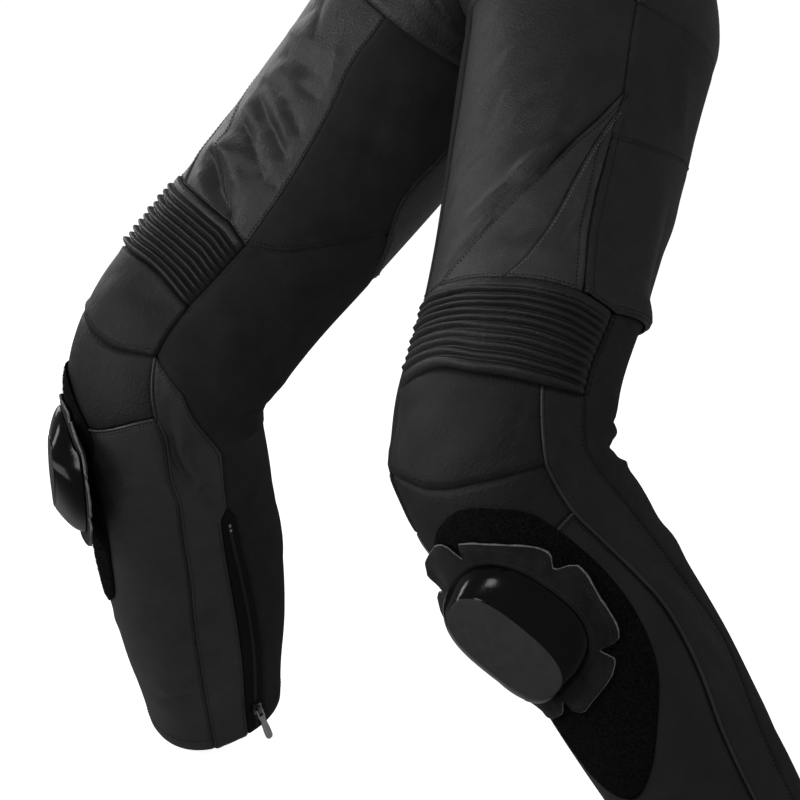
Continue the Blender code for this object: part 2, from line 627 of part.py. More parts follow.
def arm_line(side):
    d = np.linspace(0, 0.60, 601)
    way = arm_frame(side, d)
    c = leaned(np.array([side * 0.176, 0.0, 0.480])) + np.concatenate(
        [np.zeros((1, 3)), np.cumsum((way[1:] + way[:-1]) / 2 * 0.001, axis=0)])
    fwd = np.array([0.0, -1.0, 0.0]) + 0 * c
    fwd = unit(fwd - way * (fwd * way).sum(-1, keepdims=True)
               + np.array([0, 0, 0.25]) * smooth((d - 0.2) / 0.15)[:, None])
    fwd = unit(fwd - way * (fwd * way).sum(-1, keepdims=True))
    up = unit(np.cross(way, fwd))
    return d, c, fwd, up * np.sign(up[0, 2])


ARMS = {side: arm_line(side) for side in (1, -1)}


def sleeve(side, u, d):
    ds, c, fwd, up = ARMS[side]
    at = lambda a: np.stack([np.interp(d, ds, a[:, k]) for k in range(3)], -1)
    r = hermite(d, ARM_RINGS[:, 0], ARM_RINGS[:, 1:])
    turn = 2 * np.pi * u[..., None]
    ring = at(c) + (at(fwd) * np.sin(turn) - at(up) * np.cos(turn)) * r
    hole = armhole(side, u)
    moved = hole + at(c) - c[0]
    w = smooth(d / 0.16)[..., None]
    return moved * (1 - w) + ring * w


def sheet(name, side, f, s, t, flip, insets, edges=(), half=False):
    """A piece on a two-way sheet; edges gives normals shared with others."""
    S, T = np.meshgrid(s, t)
    p, n = f(S, T), sheet_normal(f, S, T, flip)
    for idx, normals in edges:
        n[idx] = normals
    p = inset(p, n, insets)
    outer, inner = p, p - n * WALL
    if half:
        least = np.reshape(insets[0], (-1, 1))
        outer, inner = keep_side(side, outer, least), keep_side(side, inner, least)
    return solid(name, outer, inner)


def armhole_normal(side, u):
    """Between the chest's and the sleeve's way, used by both."""
    body_way = leaned(np.array([side * 0.55, 0.0, 0.0]))
    spoke = armhole(side, u) - leaned(np.array([side * 0.176, 0.0, 0.480]))
    return unit(unit(spoke) + body_way * 0.35)


PANEL_ROWS = np.array([0, .13, .26, .38, .5, .56, .62, .685, .75, .815, .88, .94, 1])
HOLE_U = (PANEL_ROWS[4:] - 0.5) / 0.5 / 2


def chest(side, tag):
    s = np.array([0, .14, .3, .5, .7, .86, 1])
    front = lambda a, b: quarter(side, FRONT_CENTRE, FRONT_SIDE, a, b)
    back = lambda a, b: quarter(side, BACK_CENTRE, BACK_SIDE, a, b)
    S, T = np.meshgrid(s, PANEL_ROWS)
    shared = unit(sheet_normal(front, S, T, side) + sheet_normal(back, S, T, -side))
    width = lambda t: np.where(t < .65, ZIP_HALF + GAP, GAP)
    for name, f, flip, left, turn in (
            ('chest', front, side, width(PANEL_ROWS), HOLE_U),
            ('back', back, -side, GAP, 1 - HOLE_U)):
        edges = [((slice(0, 4), -1), shared[:4, -1]), ((-1, slice(None)), shared[-1]),
                 ((slice(4, None), -1), armhole_normal(side, turn))]
        sheet(name + tag, side, f, s, PANEL_ROWS, flip, (left, GAP, GAP, GAP),
              edges=edges, half=True)


def sleeves(side, tag):
    d = np.array([0, .04, .08, .12, .18, .23, .265, .295, .33, .39, .46, .535])
    t = d / .535
    f = lambda a, b: sleeve(side, a, b * .535)
    seam = lambda u: sheet_normal(f, *np.broadcast_arrays(np.float64(u), t), -side)
    under, over = unit(seam(0.0) + seam(1.0)), seam(0.5)
    for name, u in (('sleeve_front', HOLE_U), ('sleeve_back', 1 - HOLE_U)):
        edges = [((slice(None), 0), under), ((slice(None), -1), over),
                 ((0, slice(None)), armhole_normal(side, u))]
        sheet(name + tag, side, f, u, t, -side, (GAP, GAP, GAP, GAP), edges=edges)


def closed_curve(points, places):
    """Smooth closed curve through a ring of points."""
    k = np.arange(-3, len(points) + 4)
    return hermite(np.asarray(places) * len(points), k, points[k % len(points)])


def ring_solid(name, rings):
    """A body lofted through closed rings; the first and last are points."""
    verts = np.concatenate([np.atleast_2d(r) for r in rings]) - ORIGIN
    n = len(rings[1])
    last = len(verts) - 1
    faces = []
    for j in range(n):
        k = (j + 1) % n
        faces.append((0, 1 + j, 1 + k))
        for r in range(len(rings) - 3):
            a, b = 1 + r * n + j, 1 + r * n + k
            if r < (len(rings) - 3) / 2:
                faces += [(a, a + n, b + n), (a, b + n, b)]
            else:
                faces += [(a, a + n, b), (b, a + n, b + n)]
        faces.append((last, last - n + k, last - n + j))
    return build(name, verts, faces)


def loop_patch(side, tag):
    """Soft half of the hook-and-loop fastening, sewn on below the knee."""
    edge = closed_curve(PATCH, np.arange(32) / 32)
    rings = {0: [], 1: []}
    for share in (0, .28, .54, .78, 1):
        uv = PATCH_MIDDLE + PATCH_SHIFT[side] + (edge - PATCH_MIDDLE) * share
        uv = uv[:1] if share == 0 else uv
        # it bridges the tight bend over the knee cap's lower seam
        bridge = PATCH_BRIDGE * smooth((0.050 - uv[:, 1] / 1000) / 0.035)
        for k, lift in enumerate((PATCH_LIFT + PATCH_THICK, PATCH_LIFT)):
            rings[k].append(leg_surface(side, uv[:, 0], uv[:, 1] / 1000, bridge + lift)[0])
    return ring_solid('loop_patch' + tag, rings[0] + rings[1][::-1])


def puck_frame(side):
    """Middle, long way, short way and outward way of a knee slider."""
    puck = PUCKS[side]
    a, v = puck['at']
    p, n = leg_surface(side, np.array(a), np.array(v))
    point = lambda da, dv: leg_surface(side, np.array(a + da), np.array(v + dv))[0]
    down = unit(point(0, .001) - point(0, -.001))
    across = point(-.5, 0) - point(.5, 0)
    across = unit(across - down * (across @ down))
    co, si = math.cos(puck['turn']), math.sin(puck['turn'])
    e1, e2 = down * co + across * si, across * co - down * si
    out = unit(n + puck['tilt'][0] * e1 + puck['tilt'][1] * e2)
    f1 = unit(e1 - out * (e1 @ out))
    f2 = np.cross(out, f1)
    return p + n * puck['stand'], f1, f2 * np.sign(f2 @ e2), out


def oval(turn, half, power=2.6):
    c, s = np.cos(turn), np.sin(turn)
    return np.stack([np.sign(c) * np.abs(c)**(2 / power) * half[0],
                     np.sign(s) * np.abs(s)**(2 / power) * half[1]], -1)


def knee_slider(side, tag, under):
    """Moulded slider and its backing, seated on the pieces under them."""
    middle, f1, f2, out = puck_frame(side)
    verts, faces = [], []
    for obj in under:
        first = len(verts)
        verts += [v.co.copy() for v in obj.data.vertices]
        faces += [[first + i for i in f.vertices] for f in obj.data.polygons]
    tree = BVHTree.FromPolygons(verts, faces)

    def ground(xy):
        high = []
        for x, y in np.atleast_2d(xy):
            start = middle - ORIGIN + f1 * x + f2 * y + out * 0.06
            hit = tree.ray_cast(Vector(start), Vector(-out))
            high.append(0.06 - hit[3] if hit[0] is not None else -0.1)
        return np.array(high)

    def place(xy, z):
        xy = np.atleast_2d(xy)
        return middle + xy[:, :1] * f1 + xy[:, 1:] * f2 + np.reshape(z, (-1, 1)) * out

    turn = np.radians(PETALS[:, 0])
    foot = oval(turn, PUCK_FOOT)
    puck = PUCKS[side]
    spread, lower = puck['reach']
    reach = PETALS[:, 1] / 1000 * (spread + lower * np.sin(turn))
    reach = (reach / np.linalg.norm(foot, axis=1))[:, None]
    plans = [foot * k for k in (0, .52, 1, 1 + reach * .5, 1 + reach)]
    top = max(ground(p).max() for p in plans[:3])
    seat = [np.maximum((ground(p) + top) / 2, top - puck['depth']) + 0.0009
            for p in plans[:3]]
    for p, clear in zip(plans[3:], (0.0020, 0.0032)):
        edge = np.maximum(ground(p) + clear, seat[-1] - puck['droop'] / 2)
        seat.append(np.maximum(edge, (np.roll(edge, 1) + np.roll(edge, -1)) / 2))
    low = [place(p, z) for p, z in zip(plans, seat)]
    high = [place(p, z + FLAP_THICK) for p, z in zip(plans, seat)]
    low[0], high[0] = low[0][:1], high[0][:1]
    ring_solid('slider_backing' + tag, high + low[::-1])

    lift = FLAP_THICK + SEAT_GAP
    base = [place(p, z + lift) for p, z in zip(plans[:3], seat)]
    base[0] = base[0][:1]
    shift = np.array(PUCK_SHIFT)
    wall = []
    for k in (.12, .34, .62, .86, .96):
        bulge = PUCK_DOME * math.sin(math.pi * k)**.9
        half = [a * (1 - k) + b * k + bulge * (a - b)
                for a, b in zip(PUCK_FOOT, PUCK_FACE)]
        wall.append(place(oval(turn, half) + shift * k,
                          (seat[2] + lift) * (1 - k) + PUCK_HEIGHT * k))
    face = oval(turn, PUCK_FACE)
    crown = [place(face * k + shift, PUCK_HEIGHT + rise)
             for k, rise in ((0.985, 0.0004), (0.6, 0.0012), (0, 0.0016))]
    crown[2] = crown[2][:1]
    ring_solid('knee_slider' + tag, base + wall + crown)


def collar():
    """Stand-up band round the neck, open at the zip."""
    front = hermite(PANEL_ROWS[6:-1], PANEL_T, np.array(FRONT_CENTRE, float))
    front[0] = (front[0] + front[1]) / 2
    back = hermite(PANEL_ROWS[:7:-1], PANEL_T, np.array(BACK_CENTRE, float))
    half = np.concatenate([front, back])
    line = np.concatenate([half, half[-2::-1] * [-1, 1, 1]])
    way = unit(np.array([0.0, -0.16, 1.0]))
    inward = unit((np.array([0, 0.0, .56]) - line) * [1, 1, 0])
    grid = lambda depth: np.stack(
        [leaned(line + way * up + inward * (depth + 0.05 * up)) for up in
         (0.0006, COLLAR / 2, COLLAR)])
    return solid('collar', grid(0.0), grid(0.0025))


def main_zip():
    """Tape and teeth strip between the two fronts, crotch to neck."""
    waist = WAIST * 1000
    v = np.array([-460, -475, -490, -520, -550]) / 1000
    mean = lambda v: (body(1, -90.0, v) + body(-1, -90.0, v)) / 2 * [0, 1, 1]
    low = mean(v)
    high = leaned(hermite(PANEL_ROWS[:7], PANEL_T, np.array(FRONT_CENTRE, float)))
    line = np.concatenate([low, high]) * [0, 1, 1]
    t = (v * 1000 - waist) / (TOP - waist)
    half = np.concatenate([zip_width(t) - 2 * GAP, np.full(7, ZIP_HALF - GAP)])
    run = np.gradient(line, axis=0)
    n = unit(np.cross([1.0, 0, 0], run))
    n *= np.sign(-n[:, 1:2])
    x = np.array([-1, 0, 1])[None, :, None] * half[:, None, None] * np.array([1.0, 0, 0])
    outer = line[:, None] + x
    solid('main_zip', outer, outer - n[:, None] * WALL)
    return line, n


def slab(name, outline, low, high, frame):
    """A convex outline (across, along) extruded outward in a local frame."""
    at, across, along, out = frame
    flat = at + outline[:, :1] * across + outline[:, 1:] * along
    middle = flat.mean(0)
    return ring_solid(name, [middle + out * high, flat + out * high,
                             flat + out * low, middle + out * low])


def combine(obj, other, how):
    other.hide_render = True
    other.display_type = 'WIRE'
    mod = obj.modifiers.new(other.name, 'BOOLEAN')
    mod.operation = how
    mod.object = other


def tab_plate(name, frame):
    """Flat pull tab with an eye: a band between its outline and its eye."""
    at, across, along, out = frame
    loops = []
    for half in (PULL_OUTLINE, PULL_EYE):
        half = np.array(half)
        loop = np.concatenate([half, half[::-1] * [-1, 1]])
        loops.append(at + loop[:, :1] * across + loop[:, 1:] * along)
    rise = out * PULL_THICK / 2
    ring = np.concatenate([loops[0] + rise, loops[1] + rise, loops[1] - rise,
                           loops[0] - rise]) - ORIGIN
    n = len(loops[0])
    faces = []
    for r in range(4):
        for j in range(n):
            k = (j + 1) % n
            a, b = r * n + j, r * n + k
            c, d = (r + 1) % 4 * n + k, (r + 1) % 4 * n + j
            faces += [(a, b, c), (a, c, d)]
    return build(name, ring, faces)


def zip_slider(name, at, along, out):
    """Slider with its crown, and the pull tab that swings in the crown."""
    along = unit(along - out * (along @ out))
    across = np.cross(along, out)
    frame = (at, across, along, out)
    turn = np.arange(16) / 16 * 2 * np.pi
    slider = slab(name + '_slider', oval(turn, (SLIDER[1], SLIDER[0]), 3.0),
                  SLIDER_GAP, SLIDER_TOP, frame)
    arch = []
    for path in (CROWN_OUTSIDE, CROWN_INSIDE):
        p = np.array(path)
        line = at + p[:, :1] * along + (p[:, 1:] + SLIDER_TOP) * out
        arch.append(line[:, None] + across * np.array([[[-1], [1]]]) * CROWN_HALF)
    combine(slider, solid(name + '_crown', *arch), 'UNION')

    pivot = at + out * (SLIDER_TOP + PULL_AXIS)
    hang = np.array([0, 0, -1.0])
    hang = unit(hang - across * (hang @ across))
    if hang @ out < 0:
        hang = along
    face = np.cross(across, hang)
    frame = (pivot, across, hang, face)
    tab = tab_plate(name + '_pull', frame)
    place = Vector(pivot - ORIGIN)
    tab.data.transform(Matrix.Translation(-place))
    tab.location = place


# Looks. Columns: colour (linear), roughness, metallic, then the starts of
# the names that it covers. The first row that fits a name is used.
FINISHES = [
    ((.012, .012, .013), .38, 0.0, ('knee_slider',)),
    ((.004, .004, .005), .95, 0.0, ('loop_patch',)),
    ((.018, .018, .019), .80, 0.0, ('slider_backing',)),
    ((.30, .30, .31), .35, 1.0, ('main_zip_', 'calf_zip_left', 'calf_zip_right')),
    ((.008, .008, .009), .85, 0.0, ('main_zip', 'calf_zip_tape')),
    ((.009, .009, .010), .90, 0.0, ('knee_back', 'thigh_inner', 'thigh_outer')),
    ((.020, .020, .021), .60, 0.0, ('knee_accordion', 'thigh_wedge')),
    ((.030, .030, .032), .52, 0.0, ('knee_cup', 'knee_strap')),
    ((.024, .024, .026), .52, 0.0, ('',))]


def paint():
    """Give each piece its own material, and shade it smooth."""
    for obj in bpy.data.objects:
        colour, rough, metal, _ = next(
            row for row in FINISHES if obj.name.startswith(row[3]))
        mat = bpy.data.materials.new(obj.name)
        mat.use_nodes = True
        shader = mat.node_tree.nodes['Principled BSDF']
        shader.inputs['Base Color'].default_value = (*colour, 1.0)
        shader.inputs['Roughness'].default_value = rough
        shader.inputs['Metallic'].default_value = metal
        obj.data.materials.append(mat)
        obj.data.shade_smooth()
        obj.data.set_sharp_from_angle(angle=math.radians(40))


def start():
    for obj in list(bpy.data.objects):
        bpy.data.objects.remove(obj, do_unlink=True)


start()
for side, tag in ((+1, '_left'), (-1, '_right')):
    leg_panels(side, tag)
    hip_panels(side, tag)
    chest(side, tag)
    sleeves(side, tag)
    patch = loop_patch(side, tag)
    knee = [bpy.data.objects[name + tag] for name in
            ('knee_cup', 'knee_strap', 'shin_front', 'calf_outer', 'calf_inner')]
    knee_slider(side, tag, knee + [patch])
    a, v = CALF_SLIDER_AT
    point, out = leg_surface(side, np.array(a), np.array(v))
    below = leg_surface(side, np.array(a), np.array(v + 0.005))[0]
    zip_slider('calf_zip' + tag, point, below - point, out)
collar()
line, out = main_zip()
at = line[-1] * 0.6 + line[-2] * 0.4
zip_slider('main_zip', at, line[-2] - line[-1], unit(out[-1] + out[-2]))
paint()
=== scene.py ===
# One-piece leather motorcycle race suit: finish, creases, seams and studio
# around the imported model. Metres, +Z up, the wearer faces -Y, left is +X.
import math
import bpy
import numpy as np
from mathutils import Matrix, Vector
from mathutils.bvhtree import BVHTree


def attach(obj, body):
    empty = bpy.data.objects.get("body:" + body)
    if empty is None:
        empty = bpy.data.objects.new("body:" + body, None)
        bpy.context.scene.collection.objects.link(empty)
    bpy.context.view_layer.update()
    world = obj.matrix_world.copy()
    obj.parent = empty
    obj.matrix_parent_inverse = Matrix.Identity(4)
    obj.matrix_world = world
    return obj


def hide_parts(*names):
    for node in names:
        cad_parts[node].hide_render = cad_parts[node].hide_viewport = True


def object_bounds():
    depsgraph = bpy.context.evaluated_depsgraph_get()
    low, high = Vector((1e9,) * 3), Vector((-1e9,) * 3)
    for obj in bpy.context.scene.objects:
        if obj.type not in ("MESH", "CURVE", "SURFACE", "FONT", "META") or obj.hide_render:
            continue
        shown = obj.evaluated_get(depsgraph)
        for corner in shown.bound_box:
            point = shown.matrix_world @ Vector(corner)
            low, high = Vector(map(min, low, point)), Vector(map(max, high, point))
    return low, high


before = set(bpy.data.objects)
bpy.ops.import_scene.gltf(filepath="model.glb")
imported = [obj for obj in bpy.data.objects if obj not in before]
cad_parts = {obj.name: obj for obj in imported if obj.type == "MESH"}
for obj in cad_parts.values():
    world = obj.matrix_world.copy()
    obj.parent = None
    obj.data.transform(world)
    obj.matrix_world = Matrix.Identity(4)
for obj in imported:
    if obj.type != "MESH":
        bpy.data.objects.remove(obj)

CAD_BOX = [[float(x) for x in corner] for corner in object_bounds()]
SUIT = 'suit'

# ------------------------------------------------------------ form, as cut
BEND_HALF = 0.070        # half of the length over which a knee bends
LEAN = math.radians(20)
MM_PER_DEGREE = 1.35     # cloth round a leg for one degree of turn
SQUARED = 0.889          # under 1: a leg's rings are a little squarer than round
FORK = -0.325            # along a leg, where the two meet; metres
TAG = {1: '_left', -1: '_right'}
LEG_RINGS = np.array([   # along, radius to front, back, outer, inner; mm
    [-400, 96, 102, 90, 82], [-300, 89, 95, 84, 85], [-250, 83, 90, 85, 85],
    [-200, 77, 85, 87, 84], [-150, 73, 79, 89, 83], [-110, 72, 72, 91, 83],
    [-70, 74, 65, 91, 85], [-30, 79, 63, 88, 87], [0, 83, 66, 79, 86],
    [30, 79, 72, 71, 78], [70, 74, 77, 68, 68], [110, 73, 80, 68, 60],
    [150, 73, 81, 66, 56], [200, 73, 82, 61, 55], [250, 70, 80, 53, 56],
    [300, 66, 75, 49, 55], [360, 58, 65, 48, 50], [430, 52, 57, 47, 48]],
    float) / 1000.0
LEGS = {
    +1: dict(knee=(0.216, -0.214, -0.304), thigh=(0.441, -0.635),
             shin=(0.343, 0.515), slide=0.016),
    -1: dict(knee=(-0.215, -0.227, -0.312), thigh=(0.470, -0.615),
             shin=(0.492, 0.477), slide=-0.016)}
TOP, HEM = -345, 395
CROTCH, WAIST, RISE = -0.360, -0.580, 0.17
UNDER_FRONT, UNDER_BACK = (0, -0.80, 0.60), (0, 1.0, -0.08)   # ways out of the crotch
LINE_START, LINE_END, LINE_STEP = -0.66, 0.50, 0.001
TORSO_RINGS = np.array([  # height, half width, depth to front and back; m
    [-0.08, 0.172, 0.112, 0.122], [0.00, 0.176, 0.120, 0.132],
    [0.10, 0.168, 0.112, 0.118], [0.19, 0.156, 0.104, 0.102],
    [0.28, 0.164, 0.112, 0.108], [0.36, 0.178, 0.122, 0.116],
    [0.44, 0.182, 0.118, 0.116]])
WAIST_HEIGHT = 0.19
NECK = np.array([0.0, 0.0, 0.590])
FRONT_CENTRE = [(0, -.104, .19), (0, -.112, .28), (0, -.122, .36),
                (0, -.117, .45), (0, -.088, .530), (.038, -.070, .552),
                (.066, -.030, .588), (.072, .000, .602)]
FRONT_SIDE = [(.156, 0, .19), (.164, 0, .28), (.178, 0, .355),
              (.180, 0, .405), (.170, -.046, .432), (.162, -.062, .478),
              (.172, -.044, .530), (.194, .000, .560)]
BACK_CENTRE = [(0, .102, .19), (0, .108, .28), (0, .116, .36),
               (0, .112, .45), (0, .090, .530), (0, .058, .597),
               (.050, .040, .606), (.072, .000, .602)]
BACK_SIDE = [(.156, 0, .19), (.164, 0, .28), (.178, 0, .355),
             (.180, 0, .405), (.172, .044, .436), (.166, .060, .480),
             (.176, .044, .530), (.194, .000, .560)]
PANEL_T = np.array([0, .2, .38, .5, .62, .75, .88, 1.0])
NECK_T = 0.62            # where the front edges leave the zip for the neck
ARM_RINGS = np.array([[0, .078], [.08, .072], [.16, .066], [.26, .062],
                      [.30, .063], [.38, .056], [.46, .048], [.535, .042]])
UPPER_ARM = np.array([0.62, -0.42, -0.66])
FOREARM = np.array([0.15, -0.95, -0.20])
SHOULDER, ARM_START = np.array([0.176, 0.0, 0.480]), np.array([0.90, -0.14, -0.38])
ELBOW, ARM = 0.275, 0.535
ZIP_HALF = 0.0070
RIBS, RIB_BAND = 10, .115  # ribs, and the share of their panel above them
RIB_HEIGHT, BAND_HEIGHT = .0046, .0020
COLLAR, COLLAR_WALL = 0.036, 0.0026
COLLAR_TUCK = 0.0026     # how far its foot reaches below the neck edge
PUCKS = {   # place, turn and tilt on the leg, stand; how its backing lies
    +1: dict(at=(3.3, 0.0813), turn=-0.392, tilt=(0.107, -0.192), stand=0.0024,
             depth=0.018, reach=(1.0, 0.0), droop=0.012),
    -1: dict(at=(9.0, 0.0807), turn=-0.504, tilt=(-0.005, -0.336),
             stand=-0.0012, depth=0.011, reach=(0.7, 0.25), droop=0.002)}
PUCK_FOOT, PUCK_FACE = (0.0560, 0.0500), (0.0488, 0.0251)
PUCK_HEIGHT, PUCK_SHIFT, PUCK_DOME = 0.0264, (0.0025, -0.0007), 0.217
PATCH = np.array([[-14, 22], [10, 6], [35, 8], [60, 22], [74, 60], [80, 110],
                  [76, 155], [60, 190], [38, 222], [12, 236], [-8, 210],
                  [-13, 150], [-14, 90], [-15, 45]], float)
PATCH_MIDDLE = np.array([33.0, 115.0])
PATCH_SHIFT = {+1: (-5, 0), -1: (5, 8)}

# Broad worn folds, as in the solids, then the finer creases that only the
# cloth shows. Columns: around (degrees) and along (mm) of one end, then of
# the other, half width and height (mm; a trough is negative).
FOLDS_BOTH = [
    (125, -48, 235, -52, 24, 3.0), (118, 2, 240, 0, 20, -3.0),
    (115, 50, 240, 48, 24, 2.5)]
FOLDS = {
    +1: [(52, -205, -8, -142, 9, 4.5), (70, -190, 22, -140, 10, -2.5),
         (105, -136, 185, -148, 9, 5.0), (150, -230, 215, -255, 16, 4.0)],
    -1: [(-10, -182, 40, -150, 10, 6.0), (-14, -215, 34, -232, 12, 3.5),
         (-8, -262, 30, -250, 11, -3.0), (105, -136, 185, -148, 9, 5.0)]}
CREASES = {
    +1: [
        # beside the first diagonal seam, rolls with troughs between them
        (78, -276, 58, -236, 3.5, -1.8), (63, -243, 36, -196, 4, -2.8),
        (42, -206, 12, -158, 4, -3.2), (16, -165, -10, -135, 3.5, -2.2),
        (70, -268, 50, -234, 5, 1.6), (54, -240, 22, -194, 6, 3.0),
        (24, -197, -8, -160, 6, 2.6), (62, -276, 40, -222, 3, -1.6),
        (-5, -249, -20, -225, 4, -0.7), (12, -267, 2, -237, 4, -0.8),
        (75, -209, 70, -172, 4, -1.4), (68, -190, 57, -150, 4, -1.4),
        # short pulls on the thigh
        (-14, -212, 20, -232, 6, -0.7), (-16, -196, 8, -214, 5, 0.6),
        (-10, -250, 26, -276, 8, 0.8), (48, -232, 62, -262, 5, -0.9),
        # fine slanting wrinkles of the front piece
        (30, -318, -4, -286, 4, -0.7), (22, -300, -12, -262, 5, 0.6),
        (34, -292, 4, -262, 4, -0.6), (18, -272, -14, -240, 4, -0.8),
        (40, -282, 22, -262, 4, 0.6), (24, -256, -6, -226, 5, -0.7),
        (38, -262, 14, -238, 4, 0.6), (6, -232, -18, -204, 4, -0.8),
        (30, -240, 12, -222, 4, -0.7), (-2, -204, -20, -180, 4, 0.7),
        (46, -252, 30, -230, 4, -0.8), (58, -304, 44, -270, 4, 0.7),
        (64, -282, 50, -252, 4, -0.8), (10, -330, -14, -306, 4, 0.6),
        # wedge pieces, drawn towards the ridge seam
        (66, -226, 58, -180, 5, -1.0), (70, -200, 62, -160, 5, 0.9),
        (72, -176, 58, -140, 6, -1.0), (50, -176, 62, -196, 6, -0.7),
        (20, -136, 60, -150, 9, 0.9),
        # outer thigh, long soft pulls
        (96, -240, 104, -140, 12, -1.2), (112, -250, 118, -130, 12, 1.2),
        (128, -236, 132, -150, 10, -1.4), (150, -300, 158, -190, 14, 1.5),
        (94, -330, 108, -280, 8, -1.2), (108, -322, 120, -276, 8, 1.2),
        # knee cup
        (-16, -14, 30, -28, 6, -0.9), (-10, -24, 26, -40, 5, 0.6),
        (-40, -22, -10, -17, 11, 3.2), (-22, -38, 0, -42, 4, -0.9),
        (-20, -48, 6, -50, 3, 0.6),
        (6, -10, 44, -20, 6, 0.7), (52, -12, 60, -40, 6, -0.6),
        # beside the cup and behind the knee
        (74, -30, 90, 2, 6, -2.2), (70, -12, 86, 20, 6, 1.8),
        (80, 6, 100, 44, 6, -1.8), (78, 32, 98, 92, 7, 1.5),
        (84, 62, 104, 104, 6, -1.3), (90, 96, 112, 150, 6, 1.1),
        (98, -74, 108, -20, 7, -1.5), (108, -44, 152, -30, 6, -2.2),
        (104, -30, 160, -12, 6, 2.2), (108, -8, 168, 8, 5, -2.8),
        (112, 20, 160, 32, 6, 2.0), (118, 60, 150, 90, 8, -1.6),
        # calf
        (96, 130, 112, 200, 8, 0.9), (100, 170, 116, 250, 9, -0.9)],
    -1: [
        # thigh, soft folds across it that fade towards the inner seam
        (32, -156, 2, -136, 8, -4.6), (8, -138, -14, -128, 7, -3.0),
        (30, -138, 4, -124, 6, 1.6), (26, -170, -12, -150, 9, 3.2),
        (6, -207, -18, -192, 8, -3.0), (20, -190, 0, -182, 7, -2.8),
        (4, -184, -14, -168, 7, -2.6), (20, -214, 2, -206, 8, -1.6),
        (-14, -169, -24, -174, 5, -1.4), (0, -227, -18, -214, 7, -2.2),
        (30, -222, 0, -229, 8, -2.8), (32, -206, 2, -194, 9, 2.2),
        (2, -217, -16, -204, 7, 1.8), (26, -242, -4, -242, 9, 1.6),
        (3, -243, -16, -247, 6, -1.4), (-6, -300, -16, -256, 5, 1.2),
        (26, -330, 8, -284, 6, -1.4), (4, -282, 46, -268, 7, 1.4),
        (18, -320, 48, -260, 9, -1.2),
        # knee cup, softly dented over the knee
        (-18, -44, 10, -34, 8, -0.7), (-6, -30, 30, -20, 8, 0.7),
        (10, -46, 40, -22, 7, -0.6),
        # inner calf beside the curved seam
        (-50, 2, -86, 82, 6, -5.6), (-82, 70, -92, 116, 6, -3.6),
        (-68, 12, -92, 92, 5, -4.0), (-62, 12, -88, 84, 5, 3.0),
        (-58, 40, -80, 104, 6, 1.6), (-22, 338, -64, 322, 5, -1.8),
        (-22, 324, -62, 310, 6, 1.3), (-76, 262, -62, 268, 7, -1.0),
        (-56, 250, -30, 256, 6, -1.0), (-58, 262, -28, 268, 6, 0.8),
        # stretch cloth behind the knee
        (-70, -30, -128, -44, 8, 1.2), (-80, -8, -140, -14, 7, -1.8),
        (-96, 14, -146, 22, 7, 1.6), (-100, 44, -150, 62, 8, -1.2)]}
CREASE_GAIN = 1.45
SHARED_CREASES = [
    (150, -330, 170, -230, 12, -1.2), (196, -340, 214, -240, 12, 1.3),
    (-60, -330, -84, -230, 10, 1.1), (-44, -300, -62, -200, 9, -1.1),
    (130, 90, 170, 130, 9, 1.0), (150, 130, 200, 160, 9, -1.0),
    (180, 190, 216, 250, 10, 1.0), (140, 250, 170, 330, 10, -0.9),
    (8, 262, 46, 300, 8, 0.8), (-30, 300, 10, 340, 8, -0.8),
    (-60, -352, -20, -380, 9, -1.8), (-50, -372, 0, -402, 10, 1.8),
    (-30, -396, 40, -420, 9, -1.7), (60, -352, 110, -372, 9, 1.4),
    (150, -352, 230, -366, 9, -2.2), (160, -376, 240, -392, 9, 2.0),
    (-60, -540, 60, -548, 8, -1.6), (100, -536, 250, -546, 9, -1.6)]


def unit(v):
    v = np.asarray(v, float)
    return v / np.maximum(np.linalg.norm(v, axis=-1, keepdims=True), 1e-12)


def smooth(x):
    x = np.clip(x, 0.0, 1.0)
    return x * x * (3 - 2 * x)


def hermite(x, xs, ys):
    xs, ys = np.asarray(xs, float), np.asarray(ys, float)
    m = np.gradient(ys, xs, axis=0)
    x = np.clip(x, xs[0], xs[-1])
    i = np.clip(np.searchsorted(xs, x) - 1, 0, len(xs) - 2)
    h, t = xs[i + 1] - xs[i], (x - xs[i]) / (xs[i + 1] - xs[i])
    if ys.ndim > 1:
        h, t = h[..., None], t[..., None]
    return ((2 * t**3 - 3 * t**2 + 1) * ys[i] + (t**3 - 2 * t**2 + t) * h * m[i]
            + (-2 * t**3 + 3 * t**2) * ys[i + 1] + (t**3 - t**2) * h * m[i + 1])


def between(x, xs, rows):
    """Rows of a table, in proportion, at places x among their own places xs."""
    return np.stack([np.interp(x, xs, column) for column in rows.T], -1)


def leaned(p):
    """Places of the torso, leant forward over the legs."""
    y, z = p[..., 1], p[..., 2]
    return np.stack([p[..., 0], y * math.cos(LEAN) - z * math.sin(LEAN),
                     y * math.sin(LEAN) + z * math.cos(LEAN)], -1)


ORIGIN = leaned(NECK)


